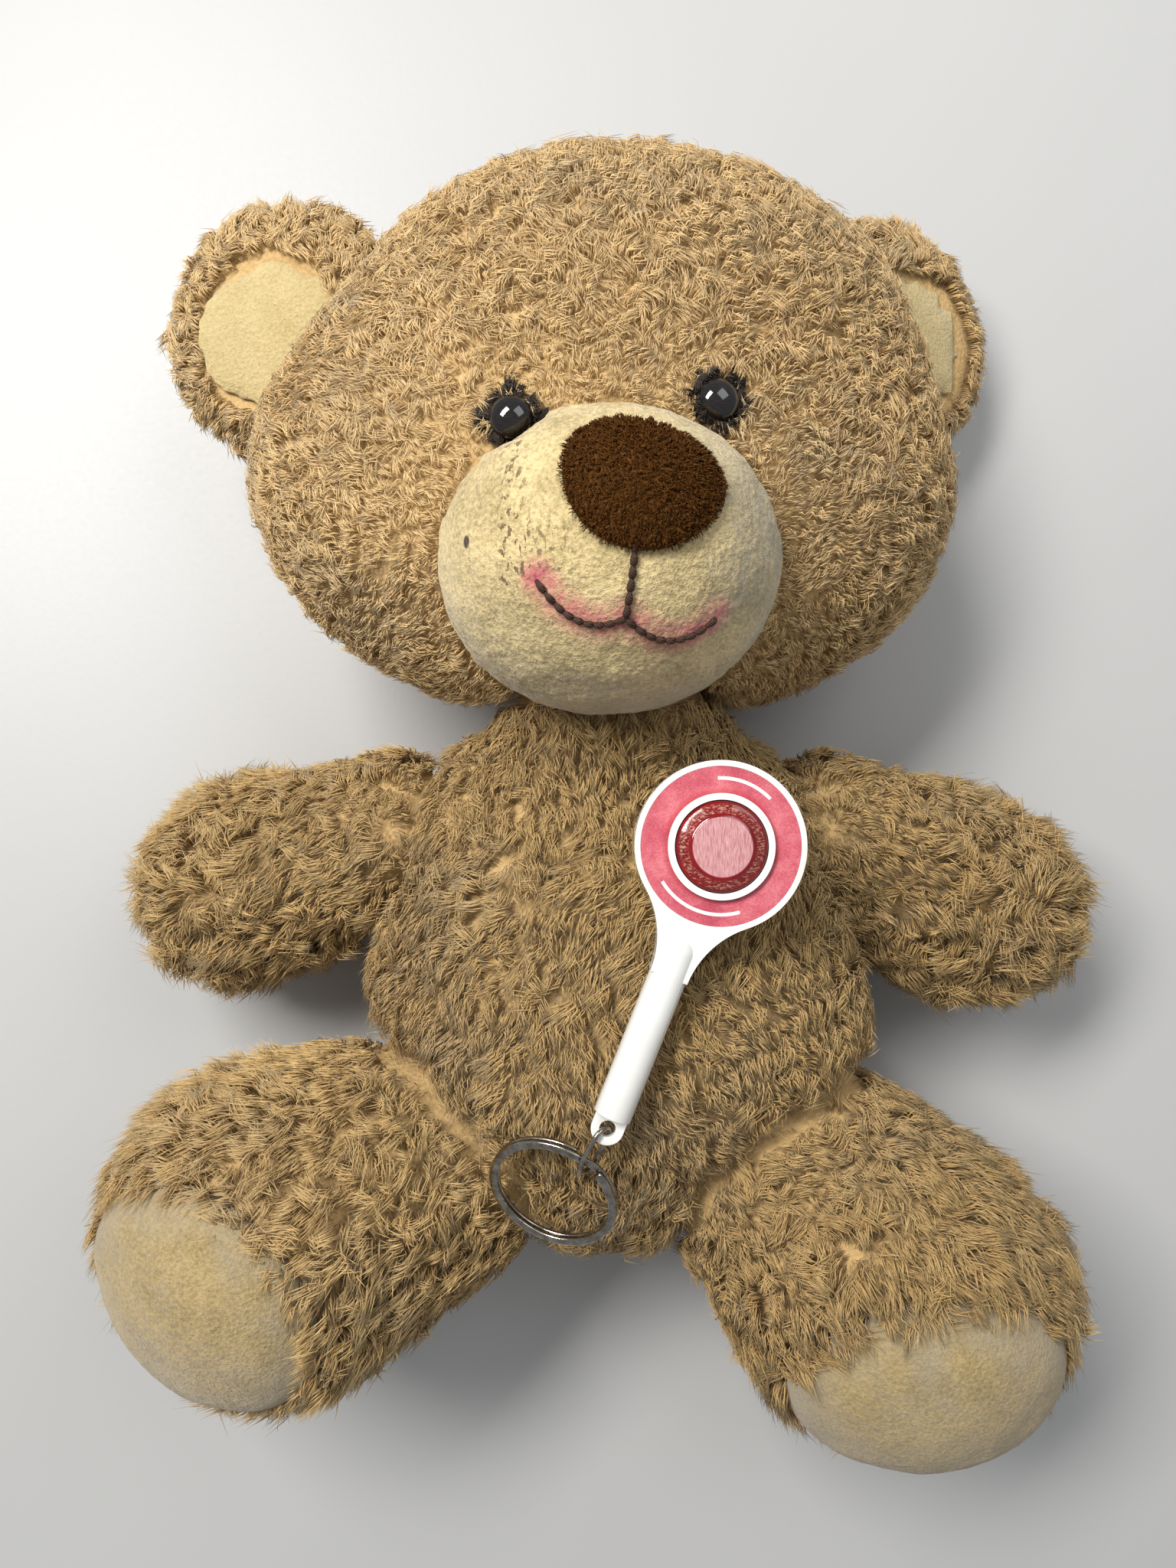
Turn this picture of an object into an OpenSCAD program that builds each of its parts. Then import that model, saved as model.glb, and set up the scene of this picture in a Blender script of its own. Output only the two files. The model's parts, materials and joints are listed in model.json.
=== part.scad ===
// Teddy bear lying on its back with a signalling-paddle key light on its belly.
// +Z points up out of the belly, +Y to the crown of the head, +X to the bear's own left.
// The origin is on the supporting surface, under the middle of the whole object.

/* [Head] */
// Width of the stuffed head across the cheeks
head_width = 156; // [150:1:160]
// Front to back depth of the head
head_depth = 90; // [86:1:92]
// How far the face is turned towards the bear's left
head_yaw = 8; // [4:1:10]
// Width of the short-pile muzzle
muzzle_width = 70; // [66:1:72]
// Radius of the ears
ear_r = 28; // [26:0.5:29]
// Diameter of the domed eyes
eye_d = 9; // [8:0.5:10]

/* [Body and limbs] */
// Width of the torso at the hips
hip_width = 116; // [112:1:120]
// Thickness of the fur fabric with its pressed pile
fabric = 2.5; // [2:0.1:3]
// Radius of the hands
hand_r = 22; // [20:0.5:23]
// Radius of the feet
foot_r = 32; // [30:0.5:33]

/* [Paddle] */
// Diameter of the paddle's disc
disc_d = 33; // [32:0.5:34]
// Thickness of the disc
disc_t = 5; // [4.8:0.1:5.4]
// Diameter of the handle
handle_d = 7.5; // [7:0.1:8]
// Distance from the disc's centre to the end of the handle
handle_end = 56; // [54:0.5:58]
// Outer diameter of the split ring
ring_d = 27; // [26:0.5:28]

/* [Hidden] */

// Moves the drawing's own origin to the middle of the whole object.
frame_shift = [0, 4.6, 0];
round_fn = 48;
soft_fn = 30;
gap = 0.9;

// Torso: eggs joined into a pear, [centre, half sizes]. The table cuts it flat at the back.
shoulders = [for (x = [-24, 24]) [[x, -12, 38], [26, 22, 26]]];
chest = [[0, -24, 38], [50, 34, 38]];
belly = [[2, -58, 37], [hip_width / 2, 38, 38.8]];
seat = [[2, -80, 31], [53, 27, 32.5]];
neck = [0, 10, 46];
neck_r = 25;

// Head: cheeks and crown, before the head is turned.
head_x = 0.2;
head_z = 47.4;
cheeks = [[0, 66, head_z], [head_width / 2, 54, head_depth / 2]];
crown = [[5, 88, head_z + 2], [65, 49.5, head_depth / 2 - 4]];
jaw = [[0, 50, head_z + 2], [60, 38, head_depth / 2 - 4]];
face_x = -5.9;
snout = [[face_x, 43, 78], [muzzle_width / 2, 31, 36]];
chin = [[face_x, 38, 76], [muzzle_width / 2 - 4, 25, 32]];
nose_at = [face_x + 0.8, 50.5];
left_ear_at = [69.5, 107, 35];
right_ear_at = [-71.5, 101.5, 35];
ear_turn = 16;
lining_r = 18;
eye_left_at = [face_x + 18.8, 71.6];
eye_right_at = [face_x - 19.6, 67.2];

// Limbs: [pivot, end of the limb's axis, radius at the pivot, radius at the end].
left_arm = [[50, -11, 36], [87, -28, 27], 18, hand_r];
right_arm = [[-50, -11, 36], [-87, -24, 27], 18, hand_r];
left_leg = [[34, -82, 37], [64.5, -112.5, 48], 27, foot_r + 2];
right_leg = [[-34, -82, 37], [-73.5, -95.5, 56], 27, foot_r + 1];
right_arm_swing = [-14, -2, 10, 22, 34];
left_arm_swing = [-5, 7, 19, 31, 43];
leg_swing = [-4, 8, 20];

// Soles: [the way the sole faces, how far its seam is from the middle of the foot].
left_sole = [[0.08, -0.66, 0.75], 17];
right_sole = [[-0.42, -0.36, 0.83], 19];

// Paddle: where its disc's centre lies and how far the handle is turned.
paddle_at = [20.4, -11.9, 81.4];
paddle_turn = -21.7;
disc_r = disc_d / 2;
handle_r = handle_d / 2;
flare_at = 27;
flare_r = (flare_at * flare_at - disc_r * disc_r + handle_r * handle_r) / (2 * (disc_r - handle_r));
web_half = disc_t / 2;
bezel_r = 10.2;
bezel_h = 1.3;
bore_r = 8.95;
hub_r = 9.9;
lip_t = 0.9;
cavity_r = 12.4;
ledge_r = 11.8;
label_r = 15.4;
label_t = 0.15;
eyelet_at = 58.6;
eyelet_r = 3.2;
eyelet_hole_r = 1.6;
eyelet_t = 1.4;
screw_at = [-19.5, -50];
button_gap = 0.1;

// Key chain: wire radii, the link's centreline and how the link and the ring lie.
link_wire = 0.5;
link_bend_r = 2.4;
link_straight = 5.2;
link_heading = 7;
link_roll = 55;
link_drop = 4;
ring_w = 1.8;
ring_h = 1;
ring_pitch = 1.1;
ring_gap = 12;
ring_heading = -36.7;
ring_tilt = 32.5;
ring_spin = 86.7;
ring_in_link = 7.9;

fur = [0.80, 0.64, 0.42];
pile = [0.90, 0.83, 0.62];
fill = [0.95, 0.95, 0.93];
brown = [0.25, 0.11, 0.04];
white = [0.92, 0.92, 0.90];
signal_red = [0.80, 0.25, 0.30];
steel = [0.70, 0.68, 0.64];

// ---- Shapes that repeat ----

module egg(e, inset = 0)
    hull()
        translate(e[0])
            scale([for (h = e[1]) h - inset])
                sphere(1, $fn = soft_fn);

function arc(c, r, from, to, n = 10) =
    [for (i = [0:n]) c + r * [cos(from + (to - from) * i / n), sin(from + (to - from) * i / n)]];

// Half outline of a round-ended taper: r0 at the pivot, r1 at the distance len.
function taper_outline(r0, r1, len) =
    let (lean = asin((r0 - r1) / len))
        concat([[0, -r0]], arc([0, 0], r0, -90, lean), arc([0, len], r1, lean, 90), [[0, len + r1]]);

module along(limb) {
    d = limb[1] - limb[0];
    translate(limb[0])
        rotate([0, acos(d.z / norm(d)), atan2(d.y, d.x)])
            children();
}

module limb_solid(limb, inset = 0)
    along(limb)
        rotate_extrude($fn = round_fn)
            polygon(taper_outline(limb[2] - inset, limb[3] - inset, norm(limb[1] - limb[0])));

// Everything past the seam of the sole, which is a flat cut across the foot.
module sole_space(leg, sole)
    along([leg[1], leg[1] + sole[0]])
        translate([0, 0, sole[1]])
            cylinder(r = leg[3] * 2, h = leg[3], $fn = round_fn);

module in_place()
    translate(frame_shift)
        children();

module in_head()
    in_place()
        translate([head_x, 0, head_z])
            rotate([0, head_yaw, 0])
                translate([0, 0, -head_z])
                    children();

module in_paddle()
    in_place()
        translate(paddle_at)
            rotate([0, 0, paddle_turn])
                children();

// ---- Torso ----

module torso_solid(inset = 0)
    hull() {
        for (e = shoulders) egg(e, inset);
        egg(chest, inset);
        egg(belly, inset);
        egg(seat, inset);
    }

// The room that one limb turns in.
module limb_room(limb, axis, angles)
    hull()
        for (a = angles)
            translate(limb[0]) rotate(a, axis) {
                sphere(limb[2] + gap, $fn = soft_fn);
                translate(limb[1] - limb[0]) sphere(limb[3] + gap, $fn = soft_fn);
            }

module limb_rooms() {
    limb_room(left_arm, [0, 0, 1], left_arm_swing);
    limb_room(right_arm, [0, 0, -1], right_arm_swing);
    limb_room(left_leg, [-1, 0, 0], leg_swing);
    limb_room(right_leg, [-1, 0, 0], leg_swing);
}

module above_table(height = 0)
    translate([0, 0, 200 + height])
        cube(400, center = true);

module torso_inside()
    intersection() {
        torso_solid(fabric);
        above_table(fabric);
    }

module torso_skin()
    color(fur) in_place() intersection() {
        difference() {
            torso_solid();
            torso_inside();
            limb_rooms();
            translate(neck) sphere(neck_r, $fn = round_fn);
            stitch_places() cube([5.2, 0.9, 2 * fabric - 1.7], center = true);
        }
        above_table();
    }

module torso_stuffing()
    color(fill) in_place() union() {
        difference() {
            torso_inside();
            limb_rooms();
        }
        translate(neck) sphere(neck_r, $fn = round_fn);
    }

// Ladder stitches that close the back, each in a groove that is open to the table.
module stitch_places()
    for (i = [0:9])
        translate([0, -36 - 5 * i, 0])
            children();

module back_seam()
    color(fur) in_place() stitch_places()
        translate([0, 0, fabric / 2])
            rotate([0, 90, 0])
                cylinder(r = 0.35, h = 5, center = true, $fn = 16);

// ---- Head ----

module head_solid(inset = 0)
    hull() {
        egg(cheeks, inset);
        egg(crown, inset);
        egg(jaw, inset);
    }

module neck_socket()
    translate([0, 0, head_z])
        rotate([0, -head_yaw, 0])
            translate([neck.x - head_x, neck.y, neck.z - head_z])
                sphere(neck_r + gap, $fn = round_fn);

module head_skin()
    color(fur) in_head()
        difference() {
            head_solid();
            head_solid(fabric);
            neck_socket();
            eye_rooms();
        }

module head_stuffing()
    color(fill) in_head()
        difference() {
            head_solid(fabric);
            neck_socket();
            eye_rooms();
        }

// The ear's own frame. Side is 1 at the bear's left and -1 at its right.
module at_ear(at, side)
    translate(at)
        rotate([0, side * ear_turn, 0])
            children();

// Hollow of the ear that the lining fills, low towards the outer edge.
module ear_hollow(side)
    egg([[side * 2, -2, 6.2], [lining_r, lining_r, 4.6]]);

module ear_back(at, side)
    color(fur) in_head()
        difference() {
            at_ear(at, side)
                difference() {
                    hull() {
                        egg([[0, 0, 0], [ear_r, ear_r, 8]]);
                        egg([[side * -8, -6, 0], [ear_r - 4, ear_r - 2, 9]]);
                    }
                    ear_hollow(side);
                }
            head_solid(-0.2);
        }

module ear_lining(at, side)
    color(pile) in_head()
        difference() {
            at_ear(at, side)
                intersection() {
                    ear_hollow(side);
                    translate([0, 0, -14.4]) cylinder(r = 40, h = 20.4, $fn = round_fn);
                }
            head_solid(-0.2);
        }

module muzzle(inset = 0)
    hull() {
        egg(snout, inset);
        egg(chin, inset);
    }

module muzzle_panel()
    color(pile) in_head()
        difference() {
            muzzle();
            muzzle(fabric);
            head_solid();
            neck_socket();
            eye_rooms();
        }

module muzzle_stuffing()
    color(fill) in_head()
        difference() {
            muzzle(fabric);
            head_solid();
            neck_socket();
            eye_rooms();
        }

// Height of the muzzle's surface over a point of the face.
function muzzle_z(p) =
    snout[0].z + snout[1].z * sqrt(1 - pow((p.x - snout[0].x) / snout[1].x, 2)
                                     - pow((p.y - snout[0].y) / snout[1].y, 2));

module nose_patch()
    color(brown) in_head()
        difference() {
            translate([nose_at.x, nose_at.y, muzzle_z(nose_at) - 1.4])
                rotate([-15, 0, -10])
                    scale([13.2, 10.6, 4]) sphere(1, $fn = soft_fn);
            muzzle();
        }

// Mouth: one straight run of stitches down from the nose, then two smiling arcs.
mouth_mid = [face_x - 1.7, 28];
mouth_lines = [[[face_x - 0.8, 40.2], [face_x - 1.2, 34], mouth_mid],
               [[face_x - 16.6, 34.3], [face_x - 9.8, 24.2], mouth_mid],
               [mouth_mid, [face_x + 6.6, 21.2], [face_x + 14.6, 28.8]]];

function bend(line, t) =
    (1 - t) * (1 - t) * line[0] + 2 * t * (1 - t) * line[1] + t * t * line[2];

module stitch(p, q) {
    d = q - p;
    translate(p)
        rotate([0, acos(d.z / norm(d)), atan2(d.y, d.x)])
            cylinder(r = 0.7, h = norm(d), $fn = 16);
}

module mouth_stitching()
    color(brown) in_head()
        for (line = mouth_lines, i = [0:5]) {
            p = bend(line, (i + 0.06) / 6);
            q = bend(line, (i + 0.90) / 6);
            stitch([p.x, p.y, muzzle_z(p) + 1.02], [q.x, q.y, muzzle_z(q) + 1.02]);
        }

// Height of the cheeks' surface over a point of the face.
function face_z(p) =
    cheeks[0].z + cheeks[1].z * sqrt(1 - pow(p.x / cheeks[1].x, 2)
                                       - pow((p.y - cheeks[0].y) / cheeks[1].y, 2));

// A domed eye with the stem that passes through the fabric.
washer_z = -fabric - 2.5;
module eye(at)
    color([0.02, 0.02, 0.02]) in_head()
        translate([at.x, at.y, face_z(at)]) {
            intersection() {
                translate([0, 0, -1.5]) sphere(eye_d / 2 + 0.4, $fn = round_fn);
                cylinder(r = eye_d / 2, h = eye_d, $fn = round_fn);
            }
            translate([0, 0, -9]) cylinder(r = 1.6, h = 9.5, $fn = 24);
        }

// The washers that lock the eyes' stems inside the head.
module eye_washers()
    color(white) in_head()
        for (at = [eye_left_at, eye_right_at])
            translate([at.x, at.y, face_z(at) + washer_z])
                difference() {
                    cylinder(r = 6, h = 1.4, $fn = round_fn);
                    translate([0, 0, -1]) cylinder(r = 1.65, h = 4, $fn = 24);
                }

// Room in the fabric and the stuffing for the eyes and their washers.
module eye_rooms()
    for (at = [eye_left_at, eye_right_at])
        translate([at.x, at.y, face_z(at)]) {
            translate([0, 0, -0.02]) cylinder(r = eye_d / 2 + 0.05, h = 8, $fn = round_fn);
            translate([0, 0, -9.1]) cylinder(r = 1.66, h = 10, $fn = 24);
            translate([0, 0, washer_z - 0.05]) cylinder(r = 6.1, h = 1.5, $fn = round_fn);
        }

// ---- Arms and legs ----

module arm_skin(limb)
    color(fur) in_place()
        difference() {
            limb_solid(limb);
            limb_solid(limb, fabric);
        }

module leg_skin(limb, sole)
    color(fur) in_place()
        difference() {
            limb_solid(limb);
            limb_solid(limb, fabric);
            sole_space(limb, sole);
        }

module sole_pad(limb, sole)
    color(pile) in_place()
        difference() {
            intersection() {
                limb_solid(limb);
                sole_space(limb, sole);
            }
            limb_solid(limb, fabric);
        }

module limb_stuffing(limb)
    color(fill) in_place()
        limb_solid(limb, fabric);

// ---- Paddle: the disc's centre is the origin and the handle runs along -Y ----

flare_lean = atan2(flare_at, handle_r + flare_r);

// Web between the disc and the handle, with its two hollow flares.
module web_outline()
    polygon(concat(
        arc([handle_r + flare_r, -flare_at], flare_r, 180, 180 - flare_lean, 12),
        [for (i = [0:12]) let (p = arc([handle_r + flare_r, -flare_at], flare_r,
                                       180 - flare_lean, 180, 12)[i]) [-p.x, p.y]]));

module disc_half()
    union() {
        cylinder(r = disc_r, h = web_half, $fn = 96);
        linear_extrude(web_half) web_outline();
        cylinder(r = bezel_r, h = web_half + bezel_h, $fn = 96);
        handle_half();
    }

// Half of the round handle: a dome at the disc's end and a flat cut at the other.
module handle_half()
    intersection() {
        union() {
            translate([0, -flare_at + 5, 0]) sphere(handle_r, $fn = round_fn);
            translate([0, -flare_at + 5, 0])
                rotate([90, 0, 0])
                    cylinder(r = handle_r, h = handle_end - flare_at + 5, $fn = round_fn);
        }
        translate([-10, -handle_end - 5, 0]) cube([20, handle_end, 10]);
    }

module label_recess()
    translate([0, 0, web_half - label_t])
        difference() {
            cylinder(r = label_r, h = 1, $fn = 96);
            translate([0, 0, -1]) cylinder(r = bezel_r, h = 3, $fn = 96);
        }

// What is hollow in each half: the hub, the room r wide behind it and the handle's bore.
module shell_hollow(r)
    union() {
        translate([0, 0, -1]) cylinder(r = hub_r, h = 1 + web_half + bezel_h - lip_t, $fn = 96);
        translate([0, 0, -1]) cylinder(r = bore_r, h = 9, $fn = 96);
        translate([0, 0, -1]) cylinder(r = r, h = 1 + web_half - 1.3, $fn = 96);
        translate([0, -24, 0])
            rotate([90, 0, 0]) cylinder(r = 2.2, h = 20, $fn = round_fn);
        label_recess();
    }

module front_shell()
    color(white) in_paddle()
        difference() {
            union() {
                difference() {
                    disc_half();
                    shell_hollow(cavity_r);
                }
                eyelet();
            }
            for (y = screw_at)
                translate([0, y, -1]) cylinder(r = 0.8, h = 2.6, $fn = 24);
        }

// Tongue at the end of the handle, with the hole for the chain link.
module eyelet()
    difference() {
        translate([0, 0, -eyelet_t / 2])
            union() {
                translate([0, -eyelet_at, 0]) cylinder(r = eyelet_r, h = eyelet_t, $fn = round_fn);
                translate([-eyelet_r, -eyelet_at, 0])
                    cube([2 * eyelet_r, eyelet_at - handle_end, eyelet_t]);
            }
        translate([0, -eyelet_at, -2]) cylinder(r = eyelet_hole_r, h = 4, $fn = round_fn);
    }

module back_shell()
    color(white) in_paddle()
        difference() {
            mirror([0, 0, 1])
                difference() {
                    disc_half();
                    shell_hollow(ledge_r);
                }
            for (y = screw_at)
                translate([0, y, 0]) {
                    translate([0, 0, -5]) cylinder(r = 0.9, h = 6, $fn = 24);
                    translate([0, 0, -6]) cylinder(r = 1.7, h = 4.6, $fn = round_fn);
                }
        }

module shell_screws()
    color(steel) in_paddle()
        for (y = screw_at)
            translate([0, y, 0]) {
                translate([0, 0, -1.4]) cylinder(r = 0.78, h = 2.9, $fn = 24);
                difference() {
                    translate([0, 0, -2.2]) cylinder(r = 1.5, h = 0.8, $fn = round_fn);
                    translate([0, 0, -2.3]) cube([1.8, 0.35, 0.6], center = true);
                    translate([0, 0, -2.3]) cube([0.35, 1.8, 0.6], center = true);
                }
            }

module label()
    translate([0, 0, web_half - label_t])
        difference() {
            cylinder(r = label_r - 0.05, h = label_t, $fn = 96);
            translate([0, 0, -1]) cylinder(r = bezel_r + 0.05, h = 3, $fn = 96);
        }

module front_label() color(signal_red) in_paddle() label();

module back_label() color(signal_red) in_paddle() mirror([0, 0, 1]) label();

// Outline of a lens: a flange that the lip holds, a slanted rim and a flat top.
lip_z = web_half + bezel_h - lip_t;
module lens(flange_from, top)
    rotate_extrude($fn = 96)
        polygon([[0, top], [5.7, top], [6.1, top - 0.25], [8.3, lip_z + lip_t + 0.3],
                 [8.7, lip_z + lip_t], [8.7, lip_z - button_gap], [9.6, lip_z - button_gap],
                 [9.6, flange_from], [7.9, flange_from], [7.9, lip_z], [4.6, top - 1.3], [0, top - 1.3]]);

module push_lens() color([0.7, 0.05, 0.06]) in_paddle() lens(1.7, 5.4);

module back_lens() color([0.7, 0.05, 0.06]) in_paddle() mirror([0, 0, 1]) lens(1.7, 4.9);

// Circuit board across the hub, lying on the back shell's ledge.
board_t = 0.6;
module circuit_board()
    color([0.1, 0.4, 0.2]) in_paddle()
        cylinder(r = cavity_r - 0.1, h = board_t, $fn = 96);

module red_led()
    color([0.9, 0.1, 0.1]) in_paddle()
        translate([0, 0, board_t]) {
            cylinder(r = 1.5, h = 1, $fn = round_fn);
            translate([0, 0, 1]) intersection() {
                sphere(1.3, $fn = round_fn);
                cylinder(r = 2, h = 2);
            }
        }

// Small switch beside the light, with a well for its plunger.
switch_x = 5;
module switch_housing()
    color([0.1, 0.1, 0.1]) in_paddle()
        translate([switch_x, 0, board_t])
            difference() {
                translate([-1.5, -1.5, 0]) cube([3, 3, 1.2]);
                translate([0, 0, 0.3]) cylinder(r = 0.9, h = 2, $fn = round_fn);
            }

module switch_plunger()
    color([0.7, 0.05, 0.06]) in_paddle()
        translate([switch_x, 0, 1.7]) cylinder(r = 0.8, h = 1.95, $fn = round_fn);

module coin_cell()
    color(steel) in_paddle()
        translate([0, 0, -2])
            union() {
                cylinder(r = 6.25, h = 1.6, $fn = 96);
                translate([0, 0, 1.6]) cylinder(r = 5.4, h = 0.4, $fn = 96);
            }

// Spring strip that holds the cell against the board.
module battery_clip()
    color(steel) in_paddle() {
        translate([-1.5, -7.2, -2.2]) cube([3, 14.4, 0.2]);
        for (y = [-7.2, 7])
            translate([-1.5, y, -2]) cube([3, 0.2, 2]);
    }

// ---- Key chain ----

// The link's own frame: its inner end is at the eyelet, it runs along -Y and lies in the XY plane.
module at_link()
    in_paddle()
        translate([0, -eyelet_at, 0])
            rotate([link_drop, 0, -link_heading])
                rotate([0, link_roll, 0])
                    children();

// Half a turn of wire about the Z axis, on the -Y side.
module half_turn(r, wire)
    rotate([0, 0, 180])
        rotate_extrude(angle = 180, $fn = round_fn)
            translate([r, 0]) circle(wire, $fn = 24);

module chain_link()
    color(steel) at_link()
        translate([0, -link_bend_r, 0]) {
            rotate([0, 0, 180]) half_turn(link_bend_r, link_wire);
            translate([0, -link_straight, 0]) half_turn(link_bend_r, link_wire);
            for (x = [-link_bend_r, link_bend_r])
                translate([x, 0, 0]) rotate([90, 0, 0])
                    cylinder(r = link_wire, h = link_straight, $fn = 24);
        }

// One coil of the split ring, with a gap of 2 * ring_gap degrees for the crossing wire.
module coil(z)
    translate([0, 0, z])
        rotate([0, 0, ring_gap])
            rotate_extrude(angle = 360 - 2 * ring_gap, $fn = 96)
                translate([ring_d / 2 - ring_w / 2, 0])
                    polygon([for (p = [[1, 0.5], [0.8, 1], [-0.8, 1], [-1, 0.5],
                                       [-1, -0.5], [-0.8, -1], [0.8, -1], [1, -0.5]])
                             [p.x * ring_w / 2, p.y * ring_h / 2]]);

// Wire that climbs from the lower coil's end to the upper coil's start.
module crossing() {
    a = (ring_d / 2 - ring_w) * sin(ring_gap) + 0.35;
    translate([ring_d / 2 - 0.15, 0, 0])
        rotate([90, 0, -90])
            linear_extrude(ring_w - 0.35)
                polygon([[-a, ring_pitch / 2 - ring_h / 2], [-a, ring_pitch / 2 + ring_h / 2],
                         [a, ring_h / 2 - ring_pitch / 2], [a, -ring_h / 2 - ring_pitch / 2]]);
}

// Two coils of wire that lie on each other, hung in the outer end of the link.
hang_turn = paddle_turn - link_heading;
eyelet_centre = paddle_at + eyelet_at * [sin(paddle_turn), -cos(paddle_turn), 0];
hang_at = eyelet_centre + ring_in_link * [sin(hang_turn) * cos(link_drop),
                                          -cos(hang_turn) * cos(link_drop), -sin(link_drop)];

module split_ring()
    color(steel) in_place()
        translate(hang_at)
            rotate([0, 0, ring_heading]) rotate([ring_tilt, 0, 0]) rotate([0, 0, ring_spin])
                translate([(ring_w - ring_d) / 2, 0, 0]) {
                    coil(-ring_pitch / 2);
                    coil(ring_pitch / 2);
                    crossing();
                }

torso_skin();
torso_stuffing();
back_seam();
head_skin();
head_stuffing();
ear_back(left_ear_at, 1);  // left_ear_back
ear_back(right_ear_at, -1);  // right_ear_back
ear_lining(left_ear_at, 1);  // left_ear_lining
ear_lining(right_ear_at, -1);  // right_ear_lining
muzzle_panel();
muzzle_stuffing();
nose_patch();
mouth_stitching();
eye(eye_left_at);  // left_eye
eye(eye_right_at);  // right_eye
eye_washers();
arm_skin(left_arm);  // left_arm_skin
limb_stuffing(left_arm);  // left_arm_stuffing
arm_skin(right_arm);  // right_arm_skin
limb_stuffing(right_arm);  // right_arm_stuffing
leg_skin(left_leg, left_sole);  // left_leg_skin
limb_stuffing(left_leg);  // left_leg_stuffing
sole_pad(left_leg, left_sole);  // left_sole_pad
leg_skin(right_leg, right_sole);  // right_leg_skin
limb_stuffing(right_leg);  // right_leg_stuffing
sole_pad(right_leg, right_sole);  // right_sole_pad
front_shell();
back_shell();
front_label();
back_label();
back_lens();
circuit_board();
red_led();
switch_housing();
coin_cell();
battery_clip();
shell_screws();
push_lens();
switch_plunger();
chain_link();
split_ring();
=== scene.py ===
import json

import bpy
import numpy as np
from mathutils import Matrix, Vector


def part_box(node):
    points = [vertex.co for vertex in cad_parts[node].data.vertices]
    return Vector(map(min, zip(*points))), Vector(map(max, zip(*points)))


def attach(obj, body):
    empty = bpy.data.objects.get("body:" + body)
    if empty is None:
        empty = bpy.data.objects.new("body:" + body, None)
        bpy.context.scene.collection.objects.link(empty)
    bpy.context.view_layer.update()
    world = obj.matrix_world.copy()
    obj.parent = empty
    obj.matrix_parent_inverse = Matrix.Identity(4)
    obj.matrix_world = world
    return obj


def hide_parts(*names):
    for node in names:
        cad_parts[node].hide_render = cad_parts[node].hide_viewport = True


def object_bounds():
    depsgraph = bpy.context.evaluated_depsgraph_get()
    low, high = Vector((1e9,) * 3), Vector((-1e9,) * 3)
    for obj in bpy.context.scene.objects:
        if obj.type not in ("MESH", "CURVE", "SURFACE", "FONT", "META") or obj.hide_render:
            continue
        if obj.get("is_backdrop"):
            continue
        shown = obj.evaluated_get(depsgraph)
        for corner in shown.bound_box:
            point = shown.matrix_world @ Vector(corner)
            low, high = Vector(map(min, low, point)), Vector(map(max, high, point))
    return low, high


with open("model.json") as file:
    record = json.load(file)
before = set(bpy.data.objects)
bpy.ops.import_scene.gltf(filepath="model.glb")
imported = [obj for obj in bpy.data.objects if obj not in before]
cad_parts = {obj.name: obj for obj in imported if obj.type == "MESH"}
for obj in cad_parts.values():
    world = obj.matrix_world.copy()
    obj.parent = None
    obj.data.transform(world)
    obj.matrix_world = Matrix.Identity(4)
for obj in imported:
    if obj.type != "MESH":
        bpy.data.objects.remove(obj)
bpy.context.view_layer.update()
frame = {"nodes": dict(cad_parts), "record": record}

MM = 0.001
scene = bpy.context.scene
joints = {joint["name"]: joint for joint in frame["record"]["behaviour"]["joints"]}


# ---- Torso ----
# A pear-shaped body of golden-beige curly plush over fibre filling, closed by hand down
# the back. The cloth is pulled tight by the filling and held in at its centre seam.

def sewn(name, points, *panels):
    """A mesh object from an array of points and arrays of corner numbers, one array for each
    count of corners."""
    corners = np.concatenate([panel.ravel() for panel in panels])
    sizes = np.concatenate([np.full(len(panel), panel.shape[1]) for panel in panels])
    mesh = bpy.data.meshes.new(name)
    mesh.vertices.add(len(points))
    mesh.vertices.foreach_set("co", np.asarray(points, np.float32).ravel())
    mesh.loops.add(len(corners))
    mesh.loops.foreach_set("vertex_index", corners.astype(np.int32))
    mesh.polygons.add(len(sizes))
    mesh.polygons.foreach_set("loop_start", (np.cumsum(sizes) - sizes).astype(np.int32))
    mesh.polygons.foreach_set("use_smooth", np.ones(len(sizes), bool))
    mesh.update(calc_edges=True)
    piece = bpy.data.objects.new(name, mesh)
    scene.collection.objects.link(piece)
    return piece


def closed(name, first, rings, last):
    """A closed surface: rings of points, joined by quads round and along, with a fan of
    triangles from each end ring to its pole. The rings turn left round the way they go."""
    count, around = rings.shape[:2]
    number = 1 + np.arange(count * around).reshape(count, around)
    left, right = number, np.roll(number, -1, 1)
    quads = np.stack([left[:-1], right[:-1], right[1:], left[1:]], -1).reshape(-1, 4)
    start = np.stack([np.zeros(around, int), right[0], left[0]], -1)
    end = np.stack([np.full(around, count * around + 1), left[-1], right[-1]], -1)
    points = np.vstack([first, rings.reshape(-1, 3), last])
    return sewn(name, points, quads, np.vstack([start, end]))


def read(mesh, what="co"):
    """The mesh's points, or its points' normals, as one array."""
    if what == "co":
        values = np.empty(len(mesh.vertices) * 3, np.float32)
        mesh.vertices.foreach_get("co", values)
    else:
        values = np.empty(len(mesh.vertex_normals) * 3, np.float32)
        mesh.vertex_normals.foreach_get("vector", values)
    return values.reshape(-1, 3).astype(float)


def write(mesh, points):
    mesh.vertices.foreach_set("co", np.asarray(points, np.float32).ravel())
    mesh.update()


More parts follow.
